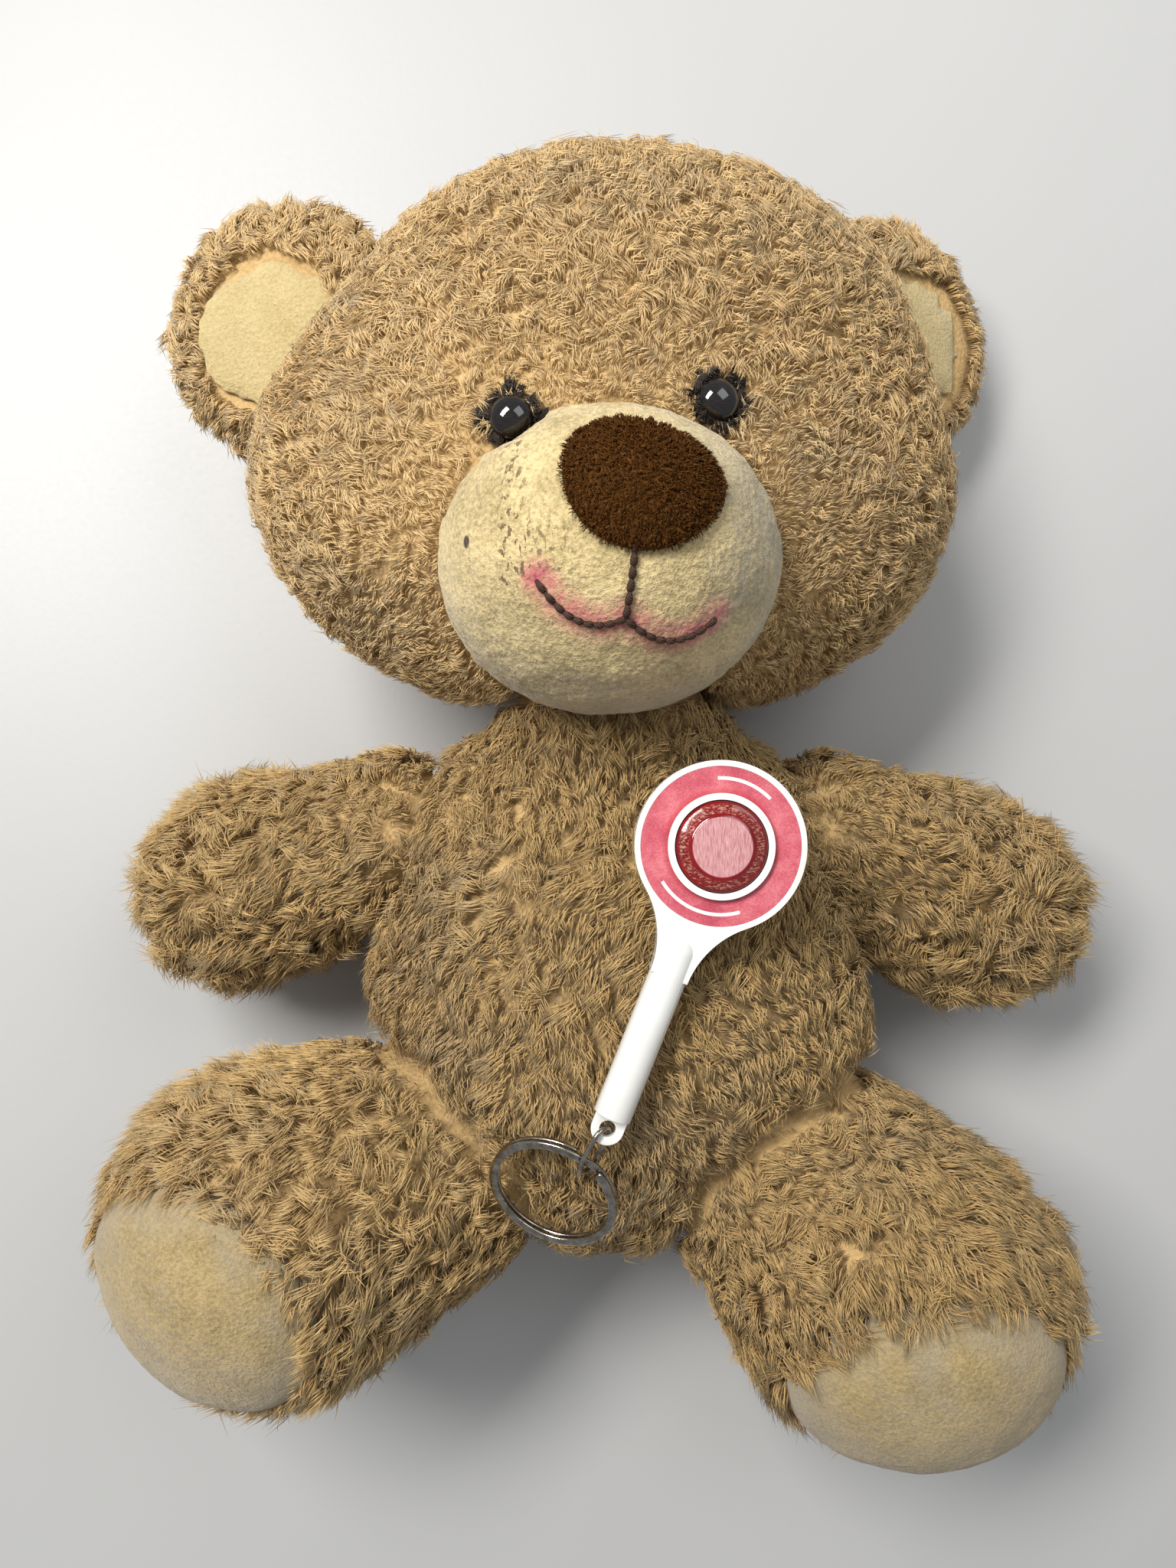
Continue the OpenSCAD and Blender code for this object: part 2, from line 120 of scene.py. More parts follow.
def settled(piece):
    """Makes the piece's modifiers part of its mesh."""
    graph = bpy.context.evaluated_depsgraph_get()
    mesh = bpy.data.meshes.new_from_object(piece.evaluated_get(graph))
    piece.modifiers.clear()
    old, piece.data = piece.data, mesh
    bpy.data.meshes.remove(old)
    mesh.name = piece.name
    mesh.polygons.foreach_set("use_smooth", np.ones(len(mesh.polygons), bool))
    return piece


def unit(vectors):
    return vectors / np.maximum(np.linalg.norm(vectors, axis=-1, keepdims=True), 1e-12)


def dot(a, b):
    return np.sum(a * b, axis=-1, keepdims=True)


def eased(low, high, values):
    """0 below low, 1 above high, and a smooth S between them."""
    t = np.clip((values - low) / (high - low), 0, 1)
    return t * t * (3 - 2 * t)


def fitted(name, centre, cloth, filling, cell, radius=0.16):
    """A ball of points about centre, drawn in along its radii onto the outside of the cloth's
    and the filling's solids, then meshed again in even squares of that cell."""
    down = np.linspace(np.pi, 0, 74)[1:-1, None]
    round_ = np.linspace(0, 2 * np.pi, 96, endpoint=False)[None, :]
    rings = np.stack([np.sin(down) * np.cos(round_), np.sin(down) * np.sin(round_),
                      np.cos(down) + 0 * round_], -1)
    centre = np.asarray(centre, float)
    piece = closed(name, centre - [0, 0, radius], centre + rings * radius,
                   centre + [0, 0, radius])
    wrap = piece.modifiers.new("wrap", "SHRINKWRAP")
    wrap.wrap_method = "PROJECT"
    wrap.use_positive_direction = False
    wrap.use_negative_direction = True
    wrap.target = frame["nodes"][cloth]
    wrap.auxiliary_target = frame["nodes"][filling]
    settled(piece)
    squares = piece.modifiers.new("squares", "REMESH")
    squares.mode = "VOXEL"
    squares.voxel_size = cell
    return settled(piece)


def stuffed(piece, seam, inset, swell, subdivide=1):
    """Blows the cloth out with its filling. The piece starts inset from its solid, pressure
    swells it while its seams are held, and no point moves further than swell. Seam takes
    points and gives how firmly each is held, from 0 to 1."""
    mesh = piece.data
    start = read(mesh) - read(mesh, "normal") * inset
    held = np.clip(seam(start), 0, 1)
    write(mesh, start - read(mesh, "normal") * (held * 0.8 * MM)[:, None])
    start = read(mesh)
    group = piece.vertex_groups.new(name="seam")
    for level in range(1, 11):
        which = np.flatnonzero(np.round(held * 10) == level)
        group.add(which.tolist(), level / 10, "REPLACE")
    cloth = piece.modifiers.new("cloth", "CLOTH")
    cloth.settings.quality = 5
    cloth.settings.mass = 0.2
    cloth.settings.use_pressure = True
    cloth.settings.uniform_pressure_force = 4
    cloth.settings.effector_weights.gravity = 0
    cloth.settings.vertex_group_mass = "seam"
    for number in range(1, 21):
        scene.frame_set(number)
    graph = bpy.context.evaluated_depsgraph_get()
    swollen = read(piece.evaluated_get(graph).data)
    piece.modifiers.clear()
    piece.vertex_groups.clear()
    scene.frame_set(1)
    move = swollen - start
    size = np.linalg.norm(move, axis=1, keepdims=True)
    write(mesh, start + move * np.minimum(1, swell / np.maximum(size, 1e-9)))
    if subdivide:
        fine = piece.modifiers.new("fine", "SUBSURF")
        fine.levels = fine.render_levels = subdivide
    settled(piece)
    points = read(piece.data)
    points[:, 2] = np.maximum(points[:, 2], 1.3 * MM)
    write(piece.data, points)
    return piece


def near(values, width):
    """1 where values are 0, falling smoothly to 0 at the width on either side."""
    return 1 - eased(0, width, np.abs(values))


def torso_seams(points):
    return np.maximum(near(points[:, 0] - 1 * MM, 5 * MM), near(points[:, 2] - 30 * MM, 4 * MM) * 0.6)


torso_middle = [0.001, -0.048, 0.035]
torso = stuffed(fitted("torso_cloth", torso_middle, "torso_skin", "torso_stuffing", 5 * MM),
                torso_seams, 1.6 * MM, 1.9 * MM)


class Wire:
    """A socket of a material's nodes. Sums on it add Math nodes, and node() adds any other."""

    def __init__(self, tree, socket=None):
        self.tree, self.socket = tree, socket

    def node(self, kind, settings=(), sockets=(), output=0):
        """Adds a node: its settings first, then the values or links of its sockets."""
        made = self.tree.nodes.new("ShaderNode" + kind)
        for name, value in dict(settings).items():
            if name == "stops":
                ramp = made.color_ramp.elements
                while len(ramp) < len(value):
                    ramp.new(0.5)
                for stop, (place, colour) in zip(ramp, value):
                    stop.position, stop.color = place, (*colour, 1)
            else:
                setattr(made, name, value)
        for name, value in dict(sockets).items():
            if isinstance(value, Wire):
                self.tree.links.new(value.socket, made.inputs[name])
            else:
                made.inputs[name].default_value = value
        return Wire(self.tree, made.outputs[output] if len(made.outputs) else None)

    def sum(self, operation, *others, clamp=False):
        settings = {"operation": operation, "use_clamp": clamp}
        return self.node("Math", settings, dict(enumerate((self, *others))))

    def __add__(self, other): return self.sum("ADD", other)
    __radd__ = __add__
    def __mul__(self, other): return self.sum("MULTIPLY", other)
    __rmul__ = __mul__
    def __sub__(self, other): return self.sum("SUBTRACT", other)
    def __rsub__(self, other): return self.node("Math", {"operation": "SUBTRACT"}, {0: other, 1: self})
    def __truediv__(self, other): return self.sum("DIVIDE", other)
    def __pow__(self, other): return self.sum("POWER", other)

    def rise(self, low, high):
        """0 below low, 1 above high, smooth between; low may be the greater."""
        return self.node("MapRange", {"interpolation_type": "SMOOTHSTEP"},
                         {"Value": self, "From Min": low, "From Max": high})

    def mixed(self, other, factor, how="MIX"):
        """This colour with the other one mixed in by the factor."""
        return self.node("Mix", {"data_type": "RGBA", "blend_type": how},
                         {0: factor, 6: self, 7: (*other, 1) if isinstance(other, tuple) else other}, 2)

    def noise(self, size, detail=2, rough=0.5):
        """Noise with lumps of that size in metres, read at this place."""
        return self.node("TexNoise", {}, {"Vector": self, "Scale": 1 / size, "Detail": detail,
                                          "Roughness": rough})

    def colours(self, *stops):
        return self.node("ValToRGB", {"stops": stops}, {"Fac": self})


def split(place):
    """The wires of a vector's X, Y and Z."""
    parts = place.node("SeparateXYZ", {}, {0: place})
    return [Wire(parts.tree, socket) for socket in parts.socket.node.outputs]


def stretched(place, scale, angle=0.0):
    """The same place with its axes scaled, then turned about Z, for grain that runs one way."""
    return place.node("Mapping", {}, {"Vector": place, "Scale": scale, "Rotation": (0, 0, angle)})


def finish(name):
    """A new material, and the wire of its Object coordinates."""
    material = bpy.data.materials.new(name)
    material.use_nodes = True
    material.node_tree.nodes.clear()
    tree = Wire(material.node_tree)
    return material, tree.node("TexCoord", {}, {}, "Object")


def surfaced(place, colour, bump=None, depth=0.1 * MM, **sockets):
    """Ends a material in one Principled shader, with a bump of that depth where one is given."""
    sockets = {name.replace("_", " "): value for name, value in sockets.items()}
    if bump is not None:
        sockets["Normal"] = place.node("Bump", {}, {"Height": bump, "Distance": depth,
                                                    "Strength": 1.0})
    shader = place.node("BsdfPrincipled", {}, {"Base Color": colour, **sockets})
    place.node("OutputMaterial", {}, {"Surface": shader})


def coat(target, material):
    """Gives a piece or a CAD node one material in every slot."""
    mesh = target.data
    if not mesh.materials:
        mesh.materials.append(material)
    for slot in range(len(mesh.materials)):
        mesh.materials[slot] = material


def placed(piece, material, node, body):
    """Coats a piece that stands for a node and rides on a body."""
    coat(piece, material)
    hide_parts(node)
    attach(piece, body)


def backing_finish():
    """The knitted back of the plush, seen deep between the tufts."""
    material, place = finish("plush_backing")
    knit = place.noise(0.9 * MM, 4)
    colour = knit.colours((0.3, (0.46, 0.30, 0.12)), (0.7, (0.62, 0.42, 0.19)))
    surfaced(place, colour, knit, 0.4 * MM, Roughness=0.95)
    return material


def filling_finish():
    """White hollow fibre, teased into clouds."""
    material, place = finish("fibre_filling")
    curl = place.noise(3 * MM, 6, 0.7)
    colour = curl.colours((0.3, (0.62, 0.60, 0.55)), (0.65, (0.86, 0.85, 0.82)))
    surfaced(place, colour, curl, 1.2 * MM, Roughness=0.9)
    return material


def thread_finish(name, dark, light):
    """Twisted sewing thread."""
    material, place = finish(name)
    ply = place.node("TexWave", {"wave_type": "BANDS", "bands_direction": "DIAGONAL"},
                     {"Vector": place, "Scale": 900.0, "Distortion": 3.0, "Detail": 2.0}, "Fac")
    surfaced(place, ply.colours((0.1, dark), (0.9, light)), ply, 0.12 * MM, Roughness=0.7)
    return material


def scatter(cells, salt):
    """Three even random numbers from 0 to 1 for each cell: its whole coordinates are
    multiplied by large primes, joined and mixed by shifts."""
    c = cells.astype(np.int64).astype(np.uint64)
    low = np.uint64(0xFFFFFFFF)
    h = (c[..., 0] * np.uint64(73856093)) ^ (c[..., 1] * np.uint64(19349663))
    h = (h ^ (c[..., 2] * np.uint64(83492791)) ^ np.uint64(salt * 2654435761 % 2**32)) & low
    drawn = []
    for _ in range(3):
        h = ((h ^ (h >> np.uint64(15))) * np.uint64(2246822519)) & low
        h = ((h ^ (h >> np.uint64(13))) * np.uint64(3266489917)) & low
        h = h ^ (h >> np.uint64(16))
        drawn.append(h / 2.0**32)
    return np.stack(drawn, -1)


def drift(points, size, salt):
    """Smooth random vectors from -1 to 1: the random vectors at the corners of a lattice of
    that size, eased together."""
    cell = np.floor(points / size)
    part = points / size - cell
    part = part * part * (3 - 2 * part)
    total = 0
    for corner in np.ndindex(2, 2, 2):
        share = np.prod(np.where(corner, part, 1 - part), axis=-1)[..., None]
        total = total + share * scatter(cell + corner, salt)
    return 2 * total - 1


def filled(cloth, node, body, keep=1.0):
    """The wad of filling that holds a cloth out: the cloth's shape, drawn in by two
    millimetres and a little uneven, with that share of its faces kept. It stands for the
    filling's node."""
    wad = bpy.data.objects.new(node.replace("stuffing", "wad"), cloth.data.copy())
    scene.collection.objects.link(wad)
    wad.data.materials.clear()
    if keep < 1:
        wad.modifiers.new("thin", "DECIMATE").ratio = keep
        settled(wad)
    points = read(wad.data)
    uneven = 1 + 0.3 * drift(points, 7 * MM, 51)[:, :1]
    points = points - read(wad.data, "normal") * uneven * 2 * MM
    points[:, 2] = np.maximum(points[:, 2], 3 * MM)
    write(wad.data, points)
    placed(wad, fibre_filling, node, body)


plush_backing = backing_finish()
fibre_filling = filling_finish()
placed(torso, plush_backing, "torso_skin", "torso")
filled(torso, "torso_stuffing", "torso")
coat(frame["nodes"]["back_seam"], thread_finish("tan_thread", (0.28, 0.17, 0.07), (0.52, 0.36, 0.18)))


# ---- Torso's plush ----
# The pile is combed down the belly. Its fibres have felted into small pointed locks that
# turn every way, dark at the root and pale at the tip.

def locks(points, size, salt):
    """For each point, the nearest of one random centre in each cell of a lattice of that
    size, and three random numbers that belong to it."""
    cell = np.floor(points / size)
    best = np.full(len(points), np.inf)
    centre = np.zeros_like(points)
    fate = np.zeros_like(points)
    for step in np.ndindex(3, 3, 3):
        there = cell + step - 1
        at = (there + scatter(there, salt)) * size
        away = np.linalg.norm(at - points, axis=1)
        closer = away < best
        best[closer] = away[closer]
        centre[closer] = at[closer]
        fate[closer] = scatter(there[closer], salt + 1)
    return centre, fate


def rooted(skin, count, weight, seed):
    """Even random places on a skin, thinned by weight(points, normals), with the skin's
    smooth normals there."""
    rng = np.random.default_rng(seed)
    mesh = skin.data
    mesh.calc_loop_triangles()
    corners = np.empty(len(mesh.loop_triangles) * 3, np.int32)
    mesh.loop_triangles.foreach_get("vertices", corners)
    points, normals = read(mesh)[corners.reshape(-1, 3)], read(mesh, "normal")[corners.reshape(-1, 3)]
    middle, facing = points.mean(1), unit(normals.mean(1))
    area = np.linalg.norm(np.cross(points[:, 1] - points[:, 0], points[:, 2] - points[:, 0]), axis=1)
    total = np.cumsum(area * weight(middle, facing))
    drawn = (np.arange(count) + rng.random(count)) / count * total[-1]
    triangle = np.minimum(np.searchsorted(total, drawn), len(total) - 1)
    a, b = np.sqrt(rng.random((count, 1))), rng.random((count, 1))
    share = np.stack([1 - a, a * (1 - b), a * b], 1)
    return (points[triangle] * share).sum(1), unit((normals[triangle] * share).sum(1))


def pelt(name, skin, body, count, pieces, groom, weight, seed, finish_, thick=0.148 * MM,
         lock=2.7 * MM, gather=0.42, press=None):
    """Closed spindle-shaped fibres in bent, tapering locks. Each fibre runs from its root to
    a bend at half its length and on to its tip, leaning by the groom's flow and its lock's
    own turn. Its tip is then drawn to the tip of the lock, and fibres at the edge of a lock
    are shorter. Groom(points, normals) gives the length, how far the fibres stand up, from
    0 to 1, the flow, and how wild they are."""
    rng = np.random.default_rng(seed + 1000)
    root, normal = rooted(skin, count, weight, seed)
    length, stand, flow, wild = groom(root, normal)
    centre, fate = locks(root, lock, seed + 7)
    parting, whorl = locks(root, lock * 2.4, seed + 17)
    centre = centre - normal * dot(centre - root, normal)
    edge = np.linalg.norm(parting - root, axis=1, keepdims=True) / (lock * 2.4)
    turn = (2 * fate - 1) * 0.8 + (2 * whorl - 1) * 0.6 + 0.7 * drift(root, 9 * MM, seed + 3)
    flow = flow + turn * wild
    flow = unit(flow - normal * dot(flow, normal))
    across = np.cross(normal, flow)
    own = rng.normal(size=(count, 3))
    shared = length * (0.70 + 0.45 * fate[:, 2:3]) * (1.12 - 0.55 * np.clip(edge, 0, 1) ** 2)
    size = shared * (0.82 + 0.30 * rng.random((count, 1)))
    curl = (fate[:, :1] - 0.5) * 1.2

    def leaning(reach, upright, bow):
        up, along = ((0.16 + 0.78 * stand, 0.95 - 0.55 * stand) if upright
                     else (0.34 + 0.24 * stand, 0.40 - 0.24 * stand))
        return reach * (normal * up + (flow + across * curl * bow) * along)

    middle = root + leaning(size, False, 1.0) + own * 0.06 * size
    tip = root + leaning(size, True, -0.8) + own[:, ::-1] * 0.13 * size
    stray = rng.random((count, 1)) < 0.14
    pull = np.where(stray, 0.08, gather)
    middle = middle * (1 - pull * 0.4) + (centre + leaning(shared, False, 1.0)) * pull * 0.4
    tip = tip * (1 - pull) + (centre + leaning(shared, True, -0.8)) * pull
    base = root - normal * 0.4 * MM
    if press is not None:
        middle, tip = press(middle), press(tip)
    base[:, 2] = np.maximum(base[:, 2], 0.75 * MM)
    middle[:, 2] = np.maximum(middle[:, 2], 0.3 * MM)
    tip[:, 2] = np.maximum(tip[:, 2], 0.3 * MM)
    axis = unit(tip - base)
    side = unit(np.cross(axis, normal + own * 0.2))
    out = np.cross(axis, side)
    bore = thick * (0.7 + 0.6 * rng.random((count, 1)))
    angle = np.arange(3) * 2 * np.pi / 3
    spoke = (side[:, None] * np.cos(angle)[:, None] + out[:, None] * np.sin(angle)[:, None]) * bore[:, None]
    points = np.concatenate([base[:, None], middle[:, None] + spoke, tip[:, None]], 1)
    points[:, :, 2] = np.maximum(points[:, :, 2], 0.1 * MM)
    corner = np.array([[0, 2, 1], [0, 3, 2], [0, 1, 3], [1, 2, 4], [2, 3, 4], [3, 1, 4]])
    strand = np.zeros((count, 5, 3))
    strand[:, 1:4, 0], strand[:, 4, 0] = 0.5, 1.0
    strand[:, :, 1], strand[:, :, 2] = rng.random((count, 1)), fate[:, :1]
    order = np.argsort(root[:, 2])
    for part, chosen in enumerate(np.array_split(order, pieces)):
        faces = (np.arange(len(chosen))[:, None, None] * 5 + corner).reshape(-1, 3)
        title = name if pieces == 1 else f"{name}_{part + 1}"
        tuft = sewn(title, points[chosen].reshape(-1, 3), faces)
        marks = tuft.data.attributes.new("strand", "FLOAT_VECTOR", "POINT")
        marks.data.foreach_set("vector", strand[chosen].astype(np.float32).ravel())
        coat(tuft, finish_)
        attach(tuft, body)


def plush_finish(name, root, body, tip, grime):
    """Golden pile: dark at the root, pale at the tip, each lock a little different, and
    greyed in broad patches where it has been handled."""
    material, place = finish(name)
    strand = place.node("Attribute", {"attribute_name": "strand"}, {}, "Vector")
    along, own, lock = split(strand)
    colour = along.colours((0.0, root), (0.45, body), (0.8, tip), (1.0, tuple(min(1, c * 1.12) for c in tip)))
    tone = own.colours((0.0, (0.80, 0.78, 0.74)), (1.0, (1.0, 1.0, 1.0)))
    colour = colour.mixed(tone, 1.0, "MULTIPLY")
    tone = lock.colours((0.0, (0.84, 0.80, 0.74)), (0.55, (0.97, 0.96, 0.94)), (1.0, (1.0, 1.0, 1.0)))
    colour = colour.mixed(tone, 1.0, "MULTIPLY")
    dirt = place.noise(26 * MM, 3, 0.6).rise(0.48, 0.72) * grime
    colour = colour.mixed((0.30, 0.26, 0.20), dirt)
    surfaced(place, colour, None, Roughness=0.52 + 0.2 * own, Specular_IOR_Level=0.35,
             Sheen_Weight=0.25, Sheen_Roughness=0.4, Sheen_Tint=(1.0, 0.9, 0.7, 1.0))
    return material


head_plush = plush_finish("head_plush", (0.56, 0.38, 0.16), (0.74, 0.515, 0.24), (0.86, 0.64, 0.34), 0.30)
# The same fabric as the head's pile, coloured about 0.7 times as dark: painted shade standing in for the
# deeper self-shadowing of the longer pile on the torso, arms and legs.
body_plush = plush_finish("body_plush", (0.36, 0.235, 0.09), (0.52, 0.345, 0.14), (0.67, 0.475, 0.215), 0.25)

disc_low, disc_high = (np.array(corner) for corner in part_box("front_label"))
disc_at = (disc_low + disc_high) / 2
eyelet = np.array(joints["link_swing"]["pos_m"])
handle_way = unit(eyelet[:2] - disc_at[:2])
paddle_z = eyelet[2]
hang = np.array(joints["ring_swing"]["pos_m"])
wire = read(frame["nodes"]["split_ring"].data)
ring_at = (wire.min(0) + wire.max(0)) / 2
ring_up = np.linalg.svd(wire - wire.mean(0), full_matrices=False)[2][2]
ring_up = ring_up * np.sign(ring_up[2])
ring_radius = 12.6 * MM


def pressed(points):
    """Pushes the pile down under the paddle's disc and handle, and under the ring's wire."""
    points = points.copy()
    flat = points[:, :2] - disc_at[:2]
    along = flat @ handle_way
    aside = flat @ np.array([-handle_way[1], handle_way[0]])
    away = np.hypot(along, aside)
    roof = np.full(len(points), 1.0)
    roof[away < 17.4 * MM] = paddle_z - 2.8 * MM
    roof[away < 9.6 * MM] = paddle_z - 5.3 * MM
    bar = (np.abs(aside) < 4.3 * MM) & (along > 15 * MM) & (along < 57 * MM)
    drop = np.sqrt(np.maximum((4.3 * MM) ** 2 - aside ** 2, 0))
    roof[bar] = np.minimum(roof[bar], paddle_z - drop[bar])
    tongue = (np.abs(aside) < 3.8 * MM) & (along >= 56 * MM) & (along < 62.5 * MM)
    roof[tongue] = paddle_z - 1.1 * MM
    offset = points - ring_at
    lift = offset @ ring_up
    reach = np.linalg.norm(offset - lift[:, None] * ring_up, axis=1)
    wired = (np.abs(reach - ring_radius) < 1.6 * MM) & (lift > -1.7 * MM) & (lift < 4 * MM)
    roof[wired] = np.minimum(roof[wired], (points[:, 2] - lift / ring_up[2] - 1.9 * MM)[wired])
    points[:, 2] = np.minimum(points[:, 2], roof)
    return points


def upper(points, normals, least=0.35):
    """Where the pile is thick: all over the top, thinner towards the table."""
    return least + (1 - least) * eased(-0.7, 0.1, normals[:, 2])


hands = {"left": np.array([87.0, -23.4, 27.0]) * MM, "right": np.array([-87.0, -19.4, 27.0]) * MM}
feet = {"left": np.array([64.5, -107.9, 48.0]) * MM, "right": np.array([-73.5, -90.9, 56.0]) * MM}
shoulders = {side: np.array(joints[f"{side}_arm_raise"]["pos_m"]) for side in hands}
hips = {side: np.array(joints[f"{side}_leg_lift"]["pos_m"]) for side in feet}


def in_limb(points, start, end, first, last):
    """True inside a taper with round ends, of the first radius at start and the last at end."""
    way = end - start
    t = np.clip((points - start) @ way / (way @ way), 0, 1)
    return np.linalg.norm(points - start - t[:, None] * way, axis=1) < first + (last - first) * t


# The eggs that the torso and the head are joined from: middle and half sizes, in millimetres.
torso_eggs = (((0, -19.4, 38), (50, 34, 38)), ((2, -53.4, 37), (58, 38, 38.8)),
              ((2, -75.4, 31), (53, 27, 32.5)), ((-24, -7.4, 38), (26, 22, 26)),
              ((24, -7.4, 38), (26, 22, 26)))
head_eggs = (((0.2, 70.6, 47.4), (78, 54, 45)), ((5.4, 92.6, 49), (65, 49.5, 41)),
             ((0.5, 54.6, 49.4), (60, 38, 41)))


def in_eggs(points, eggs, shrink):
    """True inside one of the eggs, each smaller by shrink."""
    inside = np.zeros(len(points), bool)
    for middle, half in eggs:
        half = np.array(half) * MM - shrink
        inside |= np.linalg.norm((points - np.array(middle) * MM) / half, axis=1) < 1
    return inside


def torso_groom(points, normals):
    count = len(points)
    flow = np.tile([0.0, -1.0, 0.0], (count, 1)) + 0.7 * drift(points, 24 * MM, 5)
    flow[:, 0] += points[:, 0] / 0.10
    return np.full((count, 1), 7.2 * MM), np.full((count, 1), 0.40), flow, 0.85


def torso_weight(points, normals):
    hidden = in_eggs(points, head_eggs, 2 * MM)
    for side in hands:
        hidden |= in_limb(points, shoulders[side], hands[side], 19.5 * MM, 23.5 * MM)
        hidden |= in_limb(points, hips[side], feet[side], 28.5 * MM, 35 * MM)
    return upper(points, normals, 0.25) * np.where(hidden, 0.02, 1)


pelt("torso_plush", torso, "torso", 51000, 2, torso_groom, torso_weight, 11, body_plush, press=pressed)


# ---- Head ----
# A wide, flattened ball of shorter, smoother plush, brushed away from the face, on a neck
# that lets it turn. The fabric is drawn in at a seam over the crown.

head_turn = joints["head_turn"]
eyes = {side: (np.array(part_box(f"{side}_eye")[0]) + np.array(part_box(f"{side}_eye")[1])) / 2
        for side in ("left", "right")}
eye_tops = {side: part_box(f"{side}_eye")[1][2] for side in ("left", "right")}
muzzle_low, muzzle_high = (np.array(corner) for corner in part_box("muzzle_panel"))
muzzle_at = (muzzle_low + muzzle_high) / 2


def head_seams(points):
    crown = near(points[:, 0] - 3 * MM, 5 * MM) * eased(95 * MM, 120 * MM, points[:, 1])
    side = near(points[:, 2] - 44 * MM, 4 * MM) * 0.5
    return np.maximum(crown, side)


head = stuffed(fitted("head_cloth", [0.0, 0.078, 0.047], "head_skin", "head_stuffing", 5 * MM),
               head_seams, 1.6 * MM, 1.9 * MM)
placed(head, plush_backing, "head_skin", "head")
filled(head, "head_stuffing", "head")


def face_reach(points):
    """How far a point is from the middle of the muzzle, where 1 is the muzzle's seam."""
    return np.linalg.norm((points[:, :2] - muzzle_at[:2]) / [34.5 * MM, 30.5 * MM], axis=1)


def head_groom(points, normals):
    count = len(points)
    flow = points - (muzzle_at + [0, 0, -20 * MM])
    flow = unit(flow - normals * dot(flow, normals)) + 0.8 * drift(points, 20 * MM, 21)
    reach = face_reach(points)[:, None]
    length = (3.6 + 2.0 * eased(1.0, 1.7, reach)) * MM
    stand = 0.34 + 0.25 * eased(1.25, 1.0, reach) + 0.2 * eased(0.4, -0.2, normals[:, 2:3])
    return length, stand, flow, 0.8


def head_weight(points, normals):
    bare = (face_reach(points) < 0.91) & (points[:, 2] > 45 * MM)
    for place in eyes.values():
        bare |= np.linalg.norm(points[:, :2] - place[:2], axis=1) < 4.0 * MM
    neck = np.linalg.norm(points - head_turn["pos_m"], axis=1) < 26.5 * MM
    return np.where(bare | neck, 0, upper(points, normals, 0.4))


pelt("head_plush", head, "head", 79000, 3, head_groom, head_weight, 31, head_plush, thick=0.138 * MM,
     lock=2.1 * MM, gather=0.36)


# ---- Ears ----
# Round cups of plush sewn into the head's side seams, lined in front with cream velour.

def velour_finish(name, deep, pale, grime=0.25, stains=()):
    """Short cream pile in tiny clumps, greyed where it is rubbed. Stains are pairs of a
    point attribute and the colour that it soaks in."""
    material, place = finish(name)
    clump = place.noise(0.75 * MM, 3, 0.65)
    broad = place.noise(9 * MM, 3, 0.6)
    colour = (clump * 0.65 + broad * 0.35).colours((0.33, deep), (0.62, pale))
    dirt = place.noise(15 * MM, 4, 0.7).rise(0.5, 0.75) * grime
    colour = colour.mixed((0.36, 0.33, 0.27), dirt)
    for mark, stain, strength in stains:
        soaked = place.node("Attribute", {"attribute_name": mark}, {}, "Fac")
        patchy = place.noise(1.6 * MM, 4, 0.7).rise(0.3, 0.62)
        colour = colour.mixed(stain, soaked * (0.45 + 0.55 * patchy) * strength)
    surfaced(place, colour, clump + 0.5 * place.noise(2.2 * MM, 2), 0.55 * MM, Roughness=0.85,
             Sheen_Weight=0.35, Sheen_Roughness=0.5, Specular_IOR_Level=0.2)
    return material


def mark(piece, name, values):
    """Keeps a number for each point of the piece, for its material to read."""
    marks = piece.data.attributes.new(name, "FLOAT", "POINT")
    marks.data.foreach_set("value", np.asarray(values, np.float32).ravel())


ear_velour = velour_finish("ear_velour", (0.44, 0.335, 0.14), (0.60, 0.48, 0.24), 0.1)
for side, sign in (("left", 1), ("right", -1)):
    low, high = (np.array(corner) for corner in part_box(f"{side}_ear_back"))
    lining_low, lining_high = (np.array(corner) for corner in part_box(f"{side}_ear_lining"))
    ear_at = np.array([(69.7 if sign > 0 else -71.3) * MM, (low[1] + high[1]) / 2, (low[2] + high[2]) / 2])
    no_seam = lambda points: np.zeros(len(points))
    ear = stuffed(fitted(f"{side}_ear_cloth", ear_at, f"{side}_ear_back", f"{side}_ear_back", 3 * MM, 0.08),
                  no_seam, 1.0 * MM, 1.2 * MM)
    placed(ear, plush_backing, f"{side}_ear_back", "head")
    lining = stuffed(fitted(f"{side}_ear_velour", (lining_low + lining_high) / 2, f"{side}_ear_lining",
                            f"{side}_ear_lining", 2 * MM, 0.08), no_seam, 0.3 * MM, 0.6 * MM)
    placed(lining, ear_velour, f"{side}_ear_lining", "head")
    lining_at = (lining_low + lining_high) / 2

    def ear_groom(points, normals):
        flow = points - ear_at
        flow[:, 2] = 0
        flow = unit(flow) + 0.5 * drift(points, 14 * MM, 41)
        return np.full((len(points), 1), 5.4 * MM), np.full((len(points), 1), 0.5), flow, 0.8

    def ear_weight(points, normals):
        lined = np.linalg.norm((points - lining_at)[:, :2] / [15.5 * MM, 17.0 * MM], axis=1) < 1
        buried = (points - np.array([5, 92.6, 49]) * MM) / (np.array([64, 48, 40]) * MM)
        buried = np.linalg.norm(buried, axis=1) < 1
        return np.where((lined & (normals[:, 2] > 0)) | buried, 0, upper(points, normals, 0.5))

    pelt(f"{side}_ear_plush", ear, "head", 10500, 1, ear_groom, ear_weight, 43 + sign, head_plush)


# ---- Muzzle ----
# A stuffed panel of cream velour sewn to the face, rubbed grey at one side and stained pink
# round the mouth. The nose is a patch of dense brown pile, and the mouth is chain stitch.

